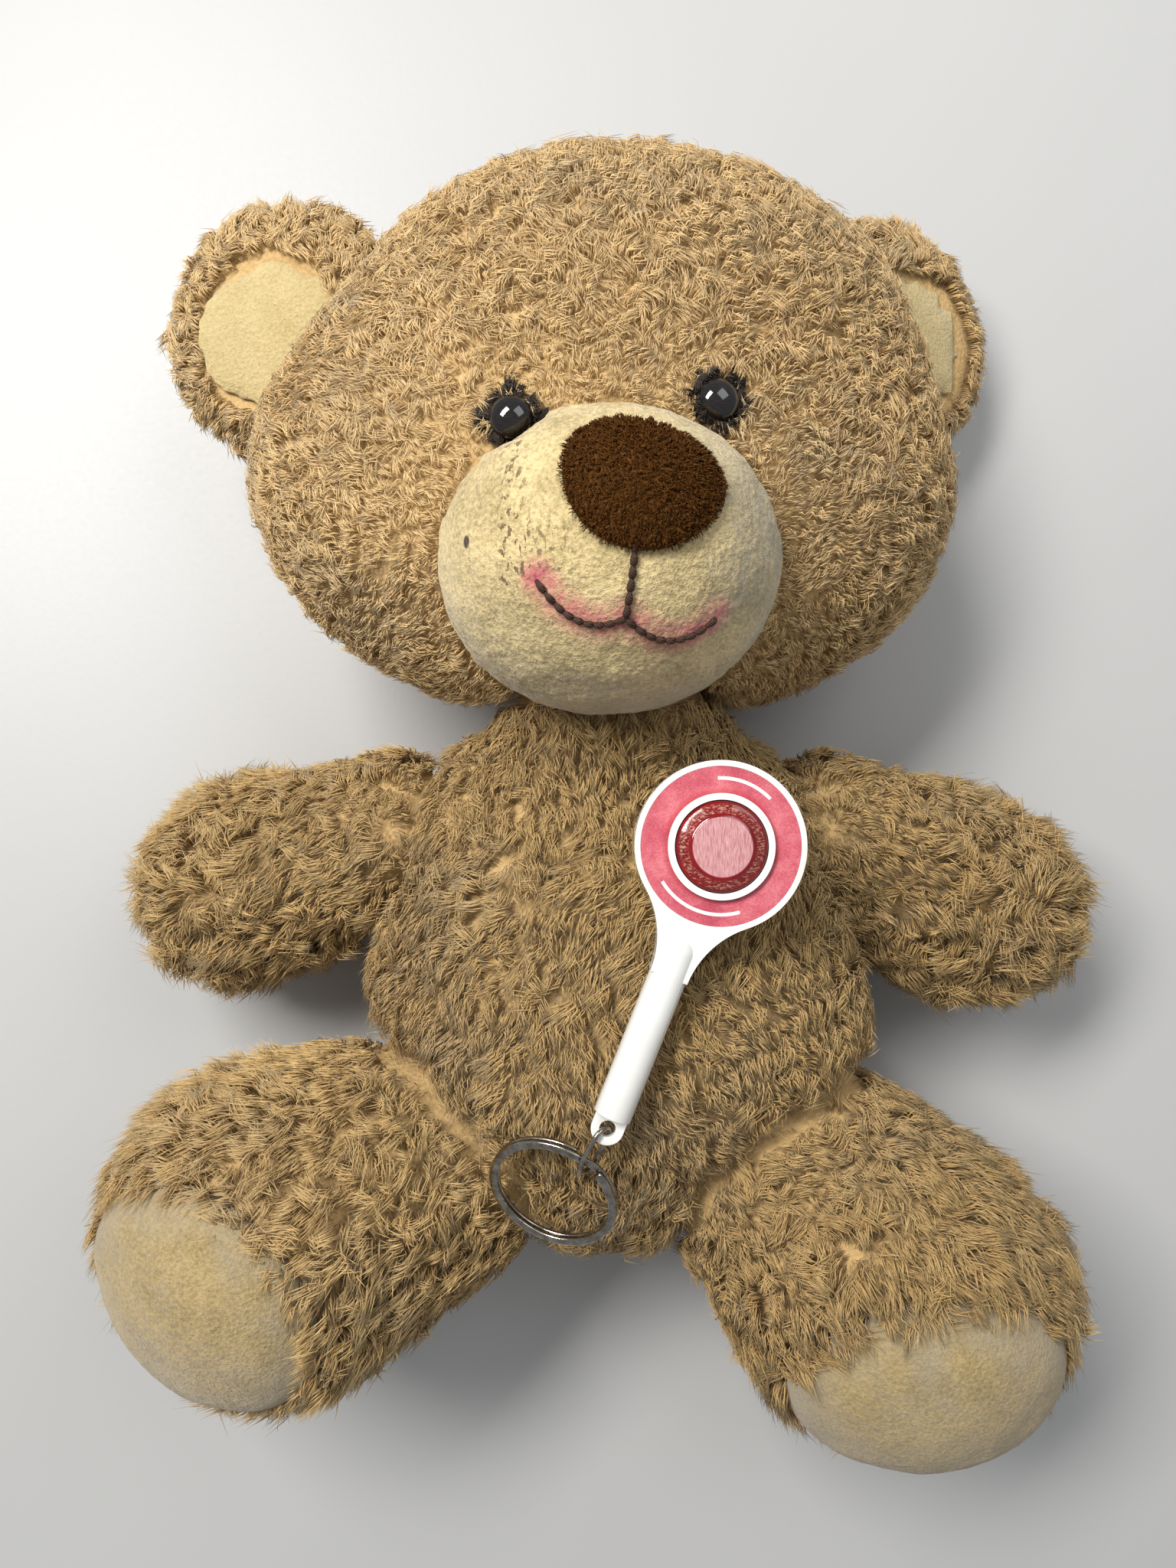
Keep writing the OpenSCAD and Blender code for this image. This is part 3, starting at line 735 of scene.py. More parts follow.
MUZZLE_MID = np.array([-5.9, 46.6]) * MM


def muzzle_seams(points):
    reach = np.linalg.norm((points[:, :2] - MUZZLE_MID - [5 * MM, 0]) / [34 * MM, 29 * MM], axis=1)
    return eased(0.93, 1.0, reach)


muzzle = stuffed(fitted("muzzle_velour", [0.0, 0.046, 0.092], "muzzle_panel", "muzzle_stuffing",
                        4 * MM, 0.1), muzzle_seams, 0.3 * MM, 1.2 * MM, subdivide=3)
spots = read(muzzle.data)
nap = 0.55 * drift(spots, 1.1 * MM, 33)[:, :1] + 0.45 * drift(spots, 2.6 * MM, 34)[:, :1]
write(muzzle.data, spots + read(muzzle.data, "normal") * nap * 0.28 * MM)


def bend(first, control, last, count):
    """Points along a quadratic curve from first to last, pulled towards the control."""
    t = np.linspace(0, 1, count)[:, None]
    return (1 - t) ** 2 * first + 2 * t * (1 - t) * control + t ** 2 * last


yaw = np.radians(8)


def on_head(points):
    """Face points in the drawing of the straight head, in millimetres, turned as it is worn."""
    points = np.asarray(points, float)
    x, y, z = points[..., 0], points[..., 1], points[..., 2] - 47.4
    return np.stack([x * np.cos(yaw) + z * np.sin(yaw) + 0.2, y + 4.6,
                     z * np.cos(yaw) - x * np.sin(yaw) + 47.4], -1) * MM


mouth_lines = np.array([[[-6.7, 40.2], [-7.1, 34.0], [-7.6, 28.0]],
                        [[-22.5, 34.3], [-15.7, 24.2], [-7.6, 28.0]],
                        [[-7.6, 28.0], [0.7, 21.2], [8.7, 28.8]]])


def over_muzzle(flat):
    """Lifts straight-head face points, in millimetres, onto the muzzle's egg."""
    height = 78 + 36 * np.sqrt(np.maximum(1 - ((flat[..., 0] + 5.9) / 35) ** 2
                                          - ((flat[..., 1] - 43) / 31) ** 2, 0.01))
    return np.concatenate([flat, height[..., None]], -1)


mouth_path = on_head(over_muzzle(np.concatenate([bend(*line, 24) for line in mouth_lines[1:]])))
spots = read(muzzle.data)
to_mouth = np.min(np.linalg.norm(spots[:, None] - mouth_path[None], axis=2), axis=1)
mark(muzzle, "pink", eased(5.2 * MM, 0.8 * MM, to_mouth) * (0.7 + 0.3 * drift(spots, 5 * MM, 3)[:, 0]))
rubbed_side = spots[:, 0] + 0.3 * spots[:, 2] - 30 * MM + 6 * MM * drift(spots, 8 * MM, 2)[:, 0]
rubbed_foot = spots[:, 1] + 4 * MM * drift(spots, 7 * MM, 4)[:, 0]
mark(muzzle, "rubbed", np.maximum(eased(14 * MM, 30 * MM, rubbed_side),
                                  eased(27 * MM, 17 * MM, rubbed_foot) * 0.8))


def muzzle_finish():
    material, place = finish("muzzle_velour")
    clump = place.noise(0.8 * MM, 3, 0.65)
    broad = place.noise(10 * MM, 3, 0.6)
    colour = (clump * 0.6 + broad * 0.4).colours((0.38, (0.34, 0.26, 0.11)), (0.60, (0.70, 0.55, 0.28)))
    rub = place.node("Attribute", {"attribute_name": "rubbed"}, {}, "Fac")
    colour = colour.mixed((0.30, 0.27, 0.21), rub * (0.30 + 0.45 * place.noise(2.5 * MM, 3).rise(0.35, 0.65)))
    pink = place.node("Attribute", {"attribute_name": "pink"}, {}, "Fac")
    colour = colour.mixed((0.56, 0.07, 0.15), pink * (0.55 + 0.4 * place.noise(1.8 * MM, 3).rise(0.35, 0.6)))
    x, y, _ = split(place)
    fibres = stretched(place, (1.0, 0.5, 1.0)).noise(0.9 * MM, 2, 0.6)
    sides = x.rise(-0.0215, -0.0185) * (x.rise(-0.0135, -0.0185)
                                        + 0.55 * x.rise(-0.004, -0.010) * y.rise(0.053, 0.046))
    strip = sides * y.rise(0.036, 0.041) * y.rise(0.069, 0.064)
    colour = colour.mixed((0.11, 0.065, 0.028), (strip * fibres.rise(0.55, 0.60)).sum("MINIMUM", 0.85))
    fleck = place.node("VectorMath", {"operation": "SUBTRACT"}, {0: place, 1: (-0.0262, 0.0468, 0.0)})
    fleck = place.node("VectorMath", {"operation": "MULTIPLY"}, {0: fleck, 1: (1.0, 0.5, 0.0)})
    fleck = place.node("VectorMath", {"operation": "LENGTH"}, {0: fleck}, "Value")
    colour = colour.mixed((0.05, 0.03, 0.02), fleck.rise(0.0007, 0.0004))
    surfaced(place, colour, clump + 0.5 * place.noise(2.2 * MM, 2), 0.55 * MM, Roughness=0.85,
             Sheen_Weight=0.35, Sheen_Roughness=0.5, Specular_IOR_Level=0.2)
    return material


placed(muzzle, muzzle_finish(), "muzzle_panel", "head")
filled(muzzle, "muzzle_stuffing", "head", keep=0.08)


def laid_on(points, skin, lift, way="Z"):
    """Drops points along an axis onto a skin, then raises them off it by lift."""
    cloud = sewn("cloud", points.reshape(-1, 3), np.zeros((0, 3), int))
    drop = cloud.modifiers.new("drop", "SHRINKWRAP")
    drop.wrap_method = "PROJECT"
    drop.use_project_z = True
    drop.use_positive_direction = drop.use_negative_direction = True
    drop.target = skin
    drop.offset = lift
    settled(cloud)
    laid = read(cloud.data).reshape(points.shape)
    bpy.data.objects.remove(cloud)
    return laid


def nose_piece():
    """An oval patch on a polar grid. It stands off the muzzle by a height that falls to its
    edge as the root of one minus the radius squared, and its pile is lattice noise."""
    across = np.linspace(1, 0.01, 60)[:, None]
    turn = np.linspace(0, 2 * np.pi, 160, endpoint=False)[None, :]
    wobble = 1 + 0.035 * np.sin(3 * turn + 0.6) - 0.03 * np.cos(2 * turn)
    x, y = 14.2 * across * np.cos(turn) * wobble, 11.3 * across * np.sin(turn) * wobble
    slant = np.radians(-10)
    flat = np.stack([-5.1 + x * np.cos(slant) - y * np.sin(slant),
                     50.5 + x * np.sin(slant) + y * np.cos(slant)], -1)
    top = laid_on(on_head(over_muzzle(flat)), muzzle, 0.0)
    height = 2.3 * np.sqrt(np.maximum(1 - across ** 2, 0)) ** 0.8 + 0 * turn
    facing = unit(top - on_head([-5.9, 40, 72]))
    grain = (0.16 * drift(top.reshape(-1, 3), 0.9 * MM, 9)[:, 0]
             + 0.1 * drift(top.reshape(-1, 3), 0.45 * MM, 8)[:, 0])
    grain = grain.reshape(height.shape) * eased(1.0, 0.94, across)
    top = top + facing * ((height + grain) * MM)[..., None]
    bottom = laid_on(on_head(over_muzzle(flat[::-6])), muzzle, 0.0) - facing[::-6] * 1.2 * MM
    rings = np.concatenate([bottom[:-1], top])
    return closed("nose_pile", bottom[0].mean(0), rings, top[-1].mean(0))


nose = nose_piece()


def nose_finish():
    material, place = finish("nose_pile")
    tuft = place.noise(0.7 * MM, 3, 0.6)
    colour = tuft.colours((0.35, (0.060, 0.020, 0.003)), (0.62, (0.140, 0.056, 0.010)))
    surfaced(place, colour, tuft, 0.4 * MM, Roughness=0.85, Specular_IOR_Level=0.12)
    return material


nose_pile = nose_finish()
coat(nose, nose_pile)


def nose_groom(points, normals):
    return (np.full((len(points), 1), 1.3 * MM), np.full((len(points), 1), 0.7),
            points - on_head([-5.1, 50.5, 100]) + 0.5 * drift(points, 4 * MM, 63) * 4 * MM, 0.003)


def nose_weight(points, normals):
    return (dot(unit(points - on_head([-5.9, 40, 72])), normals)[:, 0] > 0.1) + 1e-9


pelt("nose_pile_tips", nose, "head", 7000, 1, nose_groom, nose_weight, 64, nose_pile, thick=0.105 * MM,
     lock=0.9 * MM, gather=0.4)
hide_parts("nose_patch")
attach(nose, "head")


def stitch_run(line, stitches, thick):
    """Plump tear-shaped stitches end to end along a curve. Each is a tube whose radius
    rises as the root of the sine of its length and leans towards its head."""
    ends = bend(*line, stitches * 8 + 1).reshape(-1, 2)
    path = laid_on(on_head(over_muzzle(ends)), muzzle, 0.0)
    facing = unit(path - on_head([-5.9, 40, 72]))
    parts = []
    for index in range(stitches):
        run, up = path[index * 8:index * 8 + 9], facing[index * 8:index * 8 + 9]
        t = np.linspace(0, 1, 9)[:, None]
        along = unit(np.gradient(run, axis=0))
        side = unit(np.cross(up, along))
        bulge = thick * (np.sin(np.pi * np.clip(t * 0.84 + 0.10, 0, 1)) ** 0.4) * (0.75 + 0.4 * t)
        turn = np.linspace(0, 2 * np.pi, 10, endpoint=False)[None, :]
        core = run + up * (0.45 * thick + 0.35 * thick * np.sin(np.pi * t))
        spoke = side[:, None] * np.cos(turn)[..., None] + up[:, None] * np.sin(turn)[..., None] * 0.9
        rings = core[:, None] + spoke * bulge[:, None]
        parts.append((core[0] - along[0] * 0.3 * thick, rings, core[-1] + along[-1] * 0.3 * thick))
    return parts


def joined(name, parts):
    """Several closed tubes as one mesh object."""
    pieces = [closed(f"{name}_{index}", *part) for index, part in enumerate(parts)]
    points, quads, fans, base = [], [], [], 0
    for piece in pieces:
        mesh = piece.data
        corners = np.empty(len(mesh.loops), np.int32)
        mesh.loops.foreach_get("vertex_index", corners)
        sizes = np.empty(len(mesh.polygons), np.int32)
        mesh.polygons.foreach_get("loop_total", sizes)
        split = int((sizes == 4).sum())
        quads.append(corners[:split * 4].reshape(-1, 4) + base)
        fans.append(corners[split * 4:].reshape(-1, 3) + base)
        points.append(read(mesh))
        base += len(mesh.vertices)
        bpy.data.objects.remove(piece)
    return sewn(name, np.vstack(points), np.vstack(quads), np.vstack(fans))


mouth = joined("mouth_stitches", stitch_run(mouth_lines[0], 6, 0.72 * MM)
               + stitch_run(mouth_lines[1], 9, 0.66 * MM) + stitch_run(mouth_lines[2], 9, 0.66 * MM))
placed(mouth, thread_finish("brown_thread", (0.018, 0.007, 0.003), (0.075, 0.028, 0.012)),
       "mouth_stitching", "head")


# ---- Eyes ----
# Domed black safety eyes, each on a stem that a white washer locks inside the head, set
# in a fringe of black fuzz.

def lathe(name, profile, place, spokes=64):
    """A profile of radius and height turned about the axis and moved by place. The profile
    starts and ends on the axis, and runs so that its left side is inside."""
    profile = np.asarray(profile, float)
    turn = np.linspace(0, 2 * np.pi, spokes, endpoint=False)
    radius, height = profile[1:-1, :1], profile[1:-1, 1:]
    rings = np.stack([radius * np.cos(turn), radius * np.sin(turn), height + 0 * turn], -1)
    return closed(name, place(np.array([0, 0, profile[0, 1]])), place(rings),
                  place(np.array([0, 0, profile[-1, 1]])))


def black_finish():
    """Polished black acrylic with fine hairline scratches."""
    material, place = finish("eye_acrylic")
    hair = stretched(place, (1.0, 6.0, 1.0)).noise(1.2 * MM, 2)
    colour = hair.colours((0.4, (0.006, 0.005, 0.005)), (0.8, (0.02, 0.016, 0.014)))
    surfaced(place, colour, hair, 0.004 * MM, Roughness=hair.rise(0.3, 0.9) * 0.10 + 0.04,
             Coat_Weight=0.6, Coat_Roughness=0.03)
    return material


eye_acrylic = black_finish()


def fuzz_finish():
    material, place = finish("eye_fuzz")
    tone = place.noise(0.8 * MM, 2)
    surfaced(place, tone.colours((0.3, (0.008, 0.006, 0.005)), (0.7, (0.05, 0.03, 0.018))),
             Roughness=0.6)
    return material


eye_fuzz = fuzz_finish()
for side, place_ in eyes.items():
    top = eye_tops[side]
    tilt = unit(np.array([0.16 if side == "left" else -0.02, 0.02, 0.985]))
    side_way = unit(np.cross([0, 1, 0], tilt))
    frame_ = np.stack([side_way, np.cross(tilt, side_way), tilt], -1)
    seat = np.array([place_[0], place_[1], top - 4.0 * MM])
    arc = np.radians(np.linspace(-6, 88, 22))
    dome = np.stack([4.1 * np.cos(arc), 3.0 * np.sin(arc)], -1)
    profile = np.vstack([[0, -9], [1.55, -9], [1.6, -8.9], [1.6, -1.2], [3.8, -1.0], [4.05, -0.75],
                         dome, [0, 3.0]]) * MM
    eye = lathe(f"{side}_eye_dome", profile, lambda points: seat + points @ frame_.T)
    placed(eye, eye_acrylic, f"{side}_eye", "head")

    def fuzz_groom(points, normals):
        flow = points - np.array([place_[0], place_[1], 0])
        flow[:, 2] = 0
        return (np.full((len(points), 1), 2.9 * MM), np.full((len(points), 1), 0.85),
                unit(flow) * 0.5 + 0.9 * drift(points, 3 * MM, 61), 0.9)

    def fuzz_weight(points, normals):
        away = np.linalg.norm(points[:, :2] - place_[:2], axis=1)
        return ((away > 3.3 * MM) & (away < 5.0 * MM) & (points[:, 2] > 60 * MM)).astype(float) + 1e-9

    pelt(f"{side}_eye_fringe", head, "head", 2400, 1, fuzz_groom, fuzz_weight, 67, eye_fuzz,
         thick=0.14 * MM, lock=1.3 * MM, gather=0.2)


def washer_finish():
    material, place = finish("washer_plastic")
    grain = place.noise(1.5 * MM, 2)
    surfaced(place, grain.colours((0.3, (0.72, 0.72, 0.70)), (0.7, (0.82, 0.82, 0.80))), grain,
             0.05 * MM, Roughness=0.45)
    return material


coat(frame["nodes"]["eye_washers"], washer_finish())


# ---- Arms ----
# Tapered, ball-ended tubes of longer, curlier plush, on joints inside the shoulders.

def limb_flow(points, normals, pivot, salt, wild=0.8):
    flow = points - np.array(pivot)
    return unit(flow - normals * dot(flow, normals)) + wild * drift(points, 14 * MM, salt)


for side, hand in hands.items():
    shoulder = shoulders[side]

    def arm_seams(points):
        return near(points[:, 2] - 31 * MM, 4 * MM) * 0.7

    arm = stuffed(fitted(f"{side}_arm_cloth", shoulder * 0.45 + hand * 0.55, f"{side}_arm_skin",
                         f"{side}_arm_skin", 4 * MM, 0.09), arm_seams, 1.5 * MM, 1.7 * MM)
    placed(arm, plush_backing, f"{side}_arm_skin", f"{side}_arm")
    filled(arm, f"{side}_arm_stuffing", f"{side}_arm")

    def arm_groom(points, normals):
        away = np.linalg.norm(points - shoulder, axis=1, keepdims=True)
        length = (6.2 + 3.2 * eased(16 * MM, 34 * MM, away)) * MM
        palm = unit(points - hand - normals * dot(points - hand, normals)) * eased(30 * MM, 44 * MM, away)
        flow = limb_flow(points, normals, shoulder, 71) + 1.2 * palm
        return length, 0.48 + 0.26 * eased(16 * MM, 40 * MM, away), flow, 0.95

    def arm_weight(points, normals):
        return upper(points, normals, 0.35) * np.where(in_eggs(points, torso_eggs, 0.5 * MM), 0.02, 1)

    pelt(f"{side}_arm_plush", arm, f"{side}_arm", 19000, 1, arm_groom, arm_weight, 73, body_plush,
         lock=2.9 * MM, gather=0.5)


# ---- Legs ----
# Round feet on short thighs. Each sole is a crowned patch of cream velour, sewn round its
# rim and greyed by the seam; the left one is stained red at one edge.

sole_ways = {"left": unit(np.array([0.08, -0.66, 0.75])), "right": unit(np.array([-0.42, -0.36, 0.83]))}
sole_depths = {"left": 17 * MM, "right": 19 * MM}
foot_radii = {"left": 34 * MM, "right": 33 * MM}
for side, foot in feet.items():
    hip, sole_way, depth = hips[side], sole_ways[side], sole_depths[side]

    def leg_seams(points):
        rim = near((points - foot) @ sole_way - depth, 3.5 * MM)
        return rim

    leg = stuffed(fitted(f"{side}_leg_cloth", foot * 0.62 + hip * 0.38, f"{side}_leg_skin",
                         f"{side}_sole_pad", 4 * MM, 0.12),
                  leg_seams, 1.6 * MM, 1.8 * MM)
    placed(leg, plush_backing, f"{side}_leg_skin", f"{side}_leg")
    filled(leg, f"{side}_leg_stuffing", f"{side}_leg")

    def leg_groom(points, normals):
        away = np.linalg.norm(points - hip, axis=1, keepdims=True)
        length = (6.2 + 2.8 * eased(20 * MM, 44 * MM, away)) * MM
        return length, 0.40 + 0.25 * eased(20 * MM, 50 * MM, away), limb_flow(points, normals, hip, 81), 0.9

    def leg_weight(points, normals):
        beyond = (points - foot) @ sole_way > depth - 0.5 * MM
        hidden = in_eggs(points, torso_eggs, 0.5 * MM)
        return np.where(beyond, 0, upper(points, normals, 0.35) * np.where(hidden, 0.02, 1))

    pelt(f"{side}_leg_plush", leg, f"{side}_leg", 26500, 1, leg_groom, leg_weight, 83, body_plush,
         lock=2.9 * MM, gather=0.5)

    level = unit(np.cross([0, 0, 1], sole_way))
    rise = np.cross(sole_way, level)
    reach = np.sqrt(foot_radii[side] ** 2 - depth ** 2)
    across = np.linspace(1, 0.01, 64)[:, None]
    turn = np.linspace(0, 2 * np.pi, 200, endpoint=False)[None, :]
    crown = (foot_radii[side] - depth) * np.sqrt(np.maximum(1 - across ** 2, 0)) ** 1.15 + 0 * turn
    spoke = level * np.cos(turn)[..., None] + rise * np.sin(turn)[..., None]
    ring = foot + sole_way * depth + spoke * (across * reach)[..., None]
    face = ring + sole_way * (crown + 0.4 * MM)[..., None]
    dent = drift(face.reshape(-1, 3), 11 * MM, 91)[:, :1].reshape(face.shape[:2] + (1,))
    nap = (0.5 * drift(face.reshape(-1, 3), 1.2 * MM, 95)[:, :1]
           + 0.5 * drift(face.reshape(-1, 3), 2.8 * MM, 96)[:, :1])
    uneven = dent * 0.7 + nap.reshape(dent.shape) * 0.22
    face = face + sole_way * uneven * MM * eased(1.0, 0.85, across)[..., None]
    under = ring[::-5] - sole_way * 2.2 * MM
    sole = closed(f"{side}_sole_velour", under[0].mean(0), np.concatenate([under, face]), face[-1].mean(0))
    points = read(sole.data)
    rim = np.linalg.norm(points - foot - sole_way * dot(points - foot, sole_way), axis=1) / reach
    mark(sole, "rim", eased(0.72, 1.0, rim + 0.12 * drift(points, 6 * MM, 92)[:, 0]))
    stain_at = foot + sole_way * depth + (-level * 0.86 - rise * 0.35) * reach
    spread = np.linalg.norm(points - stain_at, axis=1) + 3 * MM * drift(points, 4 * MM, 93)[:, 0]
    red = eased(12 * MM, 3 * MM, spread)
    mark(sole, "red", red if side == "left" else red * 0)
    coat(sole, velour_finish(f"{side}_sole_velour", (0.24, 0.17, 0.065), (0.46, 0.34, 0.155), 0.3,
                             (("rim", (0.33, 0.29, 0.22), 0.5), ("red", (0.50, 0.10, 0.10), 0.75))))
    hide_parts(f"{side}_sole_pad")
    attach(sole, f"{side}_leg")


# ---- Paddle shells ----
# Two glossy white injection-moulded halves, screwed together from behind, with a tongue for
# the chain. Edges are softly rounded, and the gloss is scuffed by handling.

def moulded(name, node, width=0.2 * MM):
    """A copy of a CAD node with its points merged, flat faces joined and edges rounded."""
    mesh = frame["nodes"][node].data.copy()
    mesh.name = name
    piece = bpy.data.objects.new(name, mesh)
    scene.collection.objects.link(piece)
    weld = piece.modifiers.new("weld", "WELD")
    weld.merge_threshold = 0.002 * MM
    flat = piece.modifiers.new("flat", "DECIMATE")
    flat.decimate_type = "DISSOLVE"
    flat.angle_limit = np.radians(0.6)
    settled(piece)
    if width:
        edge = piece.modifiers.new("edge", "BEVEL")
        edge.width = width
        edge.segments = 2
        edge.limit_method = "ANGLE"
        edge.angle_limit = np.radians(30)
        edge.use_clamp_overlap = True
        settled(piece)
    piece.data.set_sharp_from_angle(angle=np.radians(28))
    return piece


def shell_finish():
    """White polystyrene, faintly yellowed, with fine scuffs that dull its gloss."""
    material, place = finish("white_polystyrene")
    scuff = stretched(place, (1.0, 5.0, 1.0), 0.7).noise(2.5 * MM, 4, 0.7)
    tone = place.noise(14 * MM, 3)
    colour = tone.colours((0.35, (0.76, 0.755, 0.71)), (0.65, (0.84, 0.84, 0.81)))
    surfaced(place, colour, place.noise(5 * MM, 2), 0.02 * MM, Roughness=scuff.rise(0.5, 0.8) * 0.18 + 0.16,
             Coat_Weight=0.3, Coat_Roughness=0.08)
    return material


white_polystyrene = shell_finish()
for half in ("front", "back"):
    shell = moulded(f"{half}_shell_moulding", f"{half}_shell")
    placed(shell, white_polystyrene, f"{half}_shell", "paddle")

paddle_turn = float(np.arctan2(handle_way[0], -handle_way[1]))


def on_disc(place):
    """The place measured from the disc's centre, along the paddle."""
    return place.node("Mapping", {"vector_type": "TEXTURE"},
                      {"Vector": place, "Location": (disc_at[0], disc_at[1], 0),
                       "Rotation": (0, 0, paddle_turn)})


def film_finish(name):
    """Red retro-reflecting film with a fine sparkle, faded and scratched, and printed with
    two plain white arcs, one over the lens and one under it."""
    material, place = finish(name)
    local = on_disc(place)
    x, y, _ = split(local)
    radius = (x * x + y * y) ** 0.5
    from_top = x.sum("ARCTAN2", y).sum("ABSOLUTE")
    band = radius.rise(0.01270, 0.01278) * radius.rise(0.01342, 0.01334)
    upper_arc = from_top.rise(0.43, 0.42)
    lower_arc = from_top.rise(np.pi - 0.66, np.pi - 0.65)
    print_ = band * (upper_arc + lower_arc).sum("MINIMUM", 1.0)
    sparkle = place.node("TexVoronoi", {}, {"Vector": place, "Scale": 3200.0, "Randomness": 1.0}, "Distance")
    cloud = place.noise(7 * MM, 3, 0.6)
    colour = (cloud * 0.65 + 0.35 * place.noise(0.35 * MM, 2)).colours(
        (0.30, (0.36, 0.035, 0.065)), (0.50, (0.56, 0.10, 0.135)), (0.72, (0.74, 0.25, 0.27)))
    fresh = radius.rise(0.0116, 0.0103)
    colour = colour.mixed((0.42, 0.02, 0.035), fresh * 0.6)
    scratch = stretched(local, (9.0, 0.8, 1.0), 0.35).noise(4 * MM, 3, 0.7)
    colour = colour.mixed((0.35, 0.09, 0.10), scratch.rise(0.70, 0.76) * 0.6)
    colour = colour.mixed((0.93, 0.88, 0.86), print_)
    surfaced(place, colour, sparkle, 0.02 * MM, Roughness=0.22 + 0.25 * sparkle,
             Coat_Weight=0.5, Coat_Roughness=0.12)
    return material


for half in ("front", "back"):
    coat(frame["nodes"][f"{half}_label"], film_finish(f"{half}_film"))


# ---- Lenses ----
# Red acrylic lens caps. The front one is the push button: its rim is chipped pale by wear
# and its flat top is brushed. The back one is fixed.

def in_paddle(points):
    """Points in the paddle's own frame, in metres, put where the paddle lies."""
    x, y, z = points[..., 0], points[..., 1], points[..., 2]
    c, s = np.cos(paddle_turn), np.sin(paddle_turn)
    return np.stack([disc_at[0] + x * c - y * s, disc_at[1] + x * s + y * c, paddle_z + z], -1)


def lens_finish(name, top):
    material, place = finish(name)
    local = on_disc(place)
    x, y, _ = split(local)
    radius = (x * x + y * y) ** 0.5
    chips = stretched(place, (1.0, 2.2, 1.0), 0.5).noise(0.75 * MM, 4, 0.75)
    rim = radius.rise(0.0063, 0.0067) * radius.rise(0.0084, 0.0078)
    worn = rim * chips.rise(0.50, 0.58)
    brushed = stretched(place, (7.0, 0.9, 1.0), 0.25).noise(1.6 * MM, 4, 0.7)
    flat = radius.rise(0.0058, 0.0056)
    colour = place.noise(4 * MM, 2).colours((0.3, (0.15, 0.002, 0.003)), (0.7, (0.25, 0.004, 0.006)))
    colour = colour.mixed((0.50, 0.24, 0.17), worn * 0.85)
    colour = colour.mixed(brushed.colours((0.3, (0.40, 0.13, 0.15)), (0.7, (0.80, 0.48, 0.48))), flat * top)
    surfaced(place, colour, chips * worn + brushed * flat, 0.06 * MM,
             Roughness=0.10 + 0.30 * worn + 0.22 * flat * top, Coat_Weight=0.4, Coat_Roughness=0.06)
    return material


def lens_profile(top):
    """Underside first, out along the flange, up the rim and in over the flat top."""
    return np.array([[0, top - 1.3], [4.6, top - 1.3], [7.9, 2.9], [7.9, 1.72], [7.95, 1.7], [9.55, 1.7],
                     [9.6, 1.75], [9.6, 2.75], [9.55, 2.8], [8.75, 2.8], [8.7, 2.85], [8.7, 3.8],
                     [8.66, 3.9], [8.3, 4.12], [8.2, 4.16], [6.2, top - 0.2], [6.05, top - 0.1],
                     [5.8, top - 0.02], [5.6, top], [3, top], [0, top]]) * MM


button = lathe("push_lens_cap", lens_profile(5.4), in_paddle, 96)
button.data.set_sharp_from_angle(angle=np.radians(40))
placed(button, lens_finish("push_lens_acrylic", 0.85), "push_lens", "lens_button")
back_cap = lathe("back_lens_cap", lens_profile(4.9)[::-1] * [1, -1], in_paddle, 96)
back_cap.data.set_sharp_from_angle(angle=np.radians(40))
placed(back_cap, lens_finish("back_lens_acrylic", 0.3), "back_lens", "paddle")


# ---- Light ----
# Inside the disc: a green board with the red light and its switch, the coin cell and its
# spring clip, and the screws that close the shell.

def plain_finish(name, dark, light, size, rough, metal=0.0, depth=0.03 * MM):
    """A moulded or rolled surface with grain of that size."""
    material, place = finish(name)
    grain = place.noise(size, 4, 0.65)
    surfaced(place, grain.colours((0.32, dark), (0.68, light)), grain, depth,
             Roughness=grain * 0.2 + rough, Metallic=metal)
    return material


def board_finish():
    material, place = finish("green_board")
    local = on_disc(place)
    tracks = local.node("TexWave", {"wave_type": "RINGS", "rings_direction": "Z"},
                        {"Vector": local, "Scale": 120.0}, "Fac")
    colour = tracks.colours((0.45, (0.012, 0.10, 0.035)), (0.55, (0.03, 0.20, 0.07)))
    surfaced(place, colour, tracks.rise(0.4, 0.6), 0.03 * MM, Roughness=0.35)
    return material


coat(frame["nodes"]["circuit_board"], board_finish())
for nodes, look in (
        (("red_led",), ("led_epoxy", (0.45, 0.01, 0.01), (0.70, 0.03, 0.03), 0.8 * MM, 0.1)),
        (("switch_housing",), ("black_plastic", (0.01, 0.01, 0.01), (0.03, 0.03, 0.03), 0.5 * MM, 0.4)),
        (("switch_plunger",), ("plunger_plastic", (0.35, 0.01, 0.01), (0.50, 0.02, 0.02), 0.6 * MM, 0.3)),
        (("coin_cell", "battery_clip"),
         ("cell_steel", (0.50, 0.49, 0.46), (0.66, 0.65, 0.62), 0.6 * MM, 0.22, 1.0)),
        (("shell_screws",), ("screw_steel", (0.45, 0.44, 0.42), (0.62, 0.61, 0.59), 0.4 * MM, 0.25, 1.0))):
    material = plain_finish(*look)
    for node in nodes:
        coat(frame["nodes"][node], material)


# ---- Chain link and split ring ----
# A bent wire link and a two-turn spring ring, nickel-plated, worn grey and grimy where the
# turns rub on each other.

def nickel_finish():
    material, place = finish("nickel_plate")
    wear = place.noise(2.2 * MM, 4, 0.7)
    pits = place.noise(0.35 * MM, 3, 0.7)
    colour = wear.colours((0.30, (0.16, 0.135, 0.11)), (0.50, (0.36, 0.33, 0.29)), (0.75, (0.58, 0.56, 0.51)))
    colour = colour.mixed((0.06, 0.045, 0.03), pits.rise(0.66, 0.74) * 0.7)
    surfaced(place, colour, pits, 0.02 * MM, Metallic=1.0, Roughness=0.12 + 0.25 * wear.rise(0.55, 0.35))
    return material


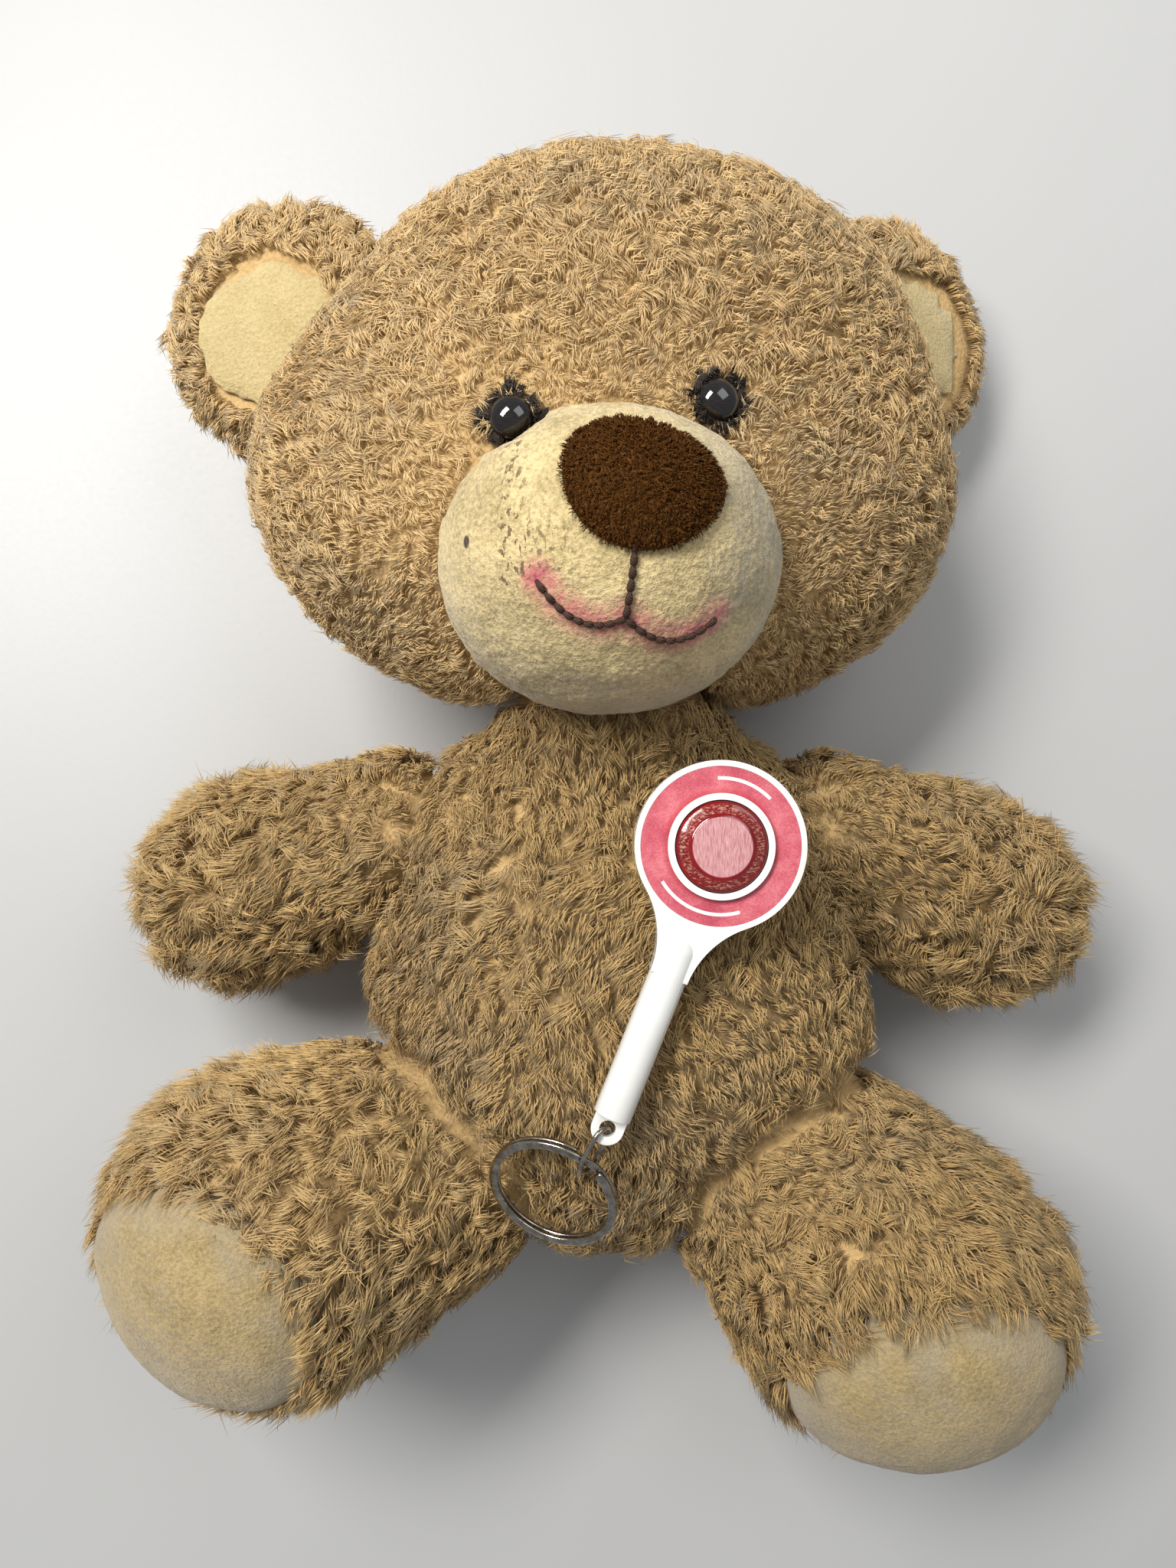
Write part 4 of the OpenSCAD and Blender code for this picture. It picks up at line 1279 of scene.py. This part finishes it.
def swept(name, path, across, up, section):
    """A section of offsets across and up, carried along a path, with pointed ends closed by
    a fan from the middle of the end ring."""
    rings = path[:, None] + across[:, None] * section[None, :, :1] + up[:, None] * section[None, :, 1:]
    return closed(name, path[0], rings, path[-1])


def rounded_section(width, height, power=3.2, count=16):
    """A rounded oblong: cosine and sine raised to two over the power."""
    turn = np.linspace(0, 2 * np.pi, count, endpoint=False)
    c, s = np.cos(turn), np.sin(turn)
    return np.stack([width / 2 * np.sign(c) * np.abs(c) ** (2 / power),
                     height / 2 * np.sign(s) * np.abs(s) ** (2 / power)], -1)


nickel_plate = nickel_finish()
ring_x = hang - ring_at
ring_x = unit(ring_x - ring_up * (ring_x @ ring_up))
ring_y = np.cross(ring_up, ring_x)
sweep = np.radians(np.linspace(13, 707, 300))[:, None]
climb = (eased(np.radians(360 - 16), np.radians(360 + 16), sweep) - 0.5) * 1.1 * MM
radial = ring_x * np.cos(sweep) + ring_y * np.sin(sweep)
ring_path = ring_at + radial * ring_radius + ring_up * climb
ring = swept("split_ring_wire", ring_path, radial, np.tile(ring_up, (len(sweep), 1)),
             rounded_section(1.8 * MM, 1.0 * MM)[::-1])
placed(ring, nickel_plate, "split_ring", "split_ring")
link = moulded("chain_link_wire", "chain_link", 0)
placed(link, nickel_plate, "chain_link", "chain_link")


# ---- Table, light and camera ----
# A plain pale table top, one broad soft lamp from the upper left, a weak one from the right
# and a grey room, seen from straight above.

def table_finish():
    material, place = finish("pale_table")
    grain = place.noise(1.6 * MM, 3, 0.6)
    colour = place.noise(200 * MM, 2).colours((0.3, (0.47, 0.47, 0.465)), (0.7, (0.51, 0.51, 0.505)))
    surfaced(place, colour, grain, 0.03 * MM, Roughness=0.42 + 0.1 * grain)
    return material


corners = np.array([[-3, -3, 0], [3, -3, 0], [3, 3, 0], [-3, 3, 0]], float)
table = sewn("table_top", corners, np.array([[0, 1, 2, 3]]))
coat(table, table_finish())
table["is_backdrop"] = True


def lamp(name, place, aim, size, power, colour):
    data = bpy.data.lights.new(name, "AREA")
    data.shape = "RECTANGLE"
    data.size, data.size_y = size
    data.energy = power
    data.color = colour
    lamp_ = bpy.data.objects.new(name, data)
    lamp_.location = place
    lamp_.rotation_euler = (Vector(aim) - Vector(place)).to_track_quat("-Z", "Y").to_euler()
    scene.collection.objects.link(lamp_)


lamp("key_lamp", (-0.36, 0.36, 0.74), (-0.02, 0.02, 0.0), (0.5, 0.22), 9.5, (1.0, 0.98, 0.95))
lamp("fill_lamp", (0.5, 0.5, 0.9), (0.0, 0.0, 0.0), (0.6, 0.6), 3, (0.98, 0.99, 1.0))
world = bpy.data.worlds.new("room")
world.use_nodes = True
world.node_tree.nodes["Background"].inputs["Color"].default_value = (0.95, 0.97, 1.0, 1)
world.node_tree.nodes["Background"].inputs["Strength"].default_value = 0.32
scene.world = world
scene.view_settings.view_transform = "Standard"

camera = bpy.data.objects.new("camera", bpy.data.cameras.new("camera"))
camera.location = (-0.005, 0.0046, 0.300)
camera.data.lens = 26
camera.data.sensor_width = 36
camera.data.clip_start = 0.01
scene.collection.objects.link(camera)
scene.camera = camera

low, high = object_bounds()
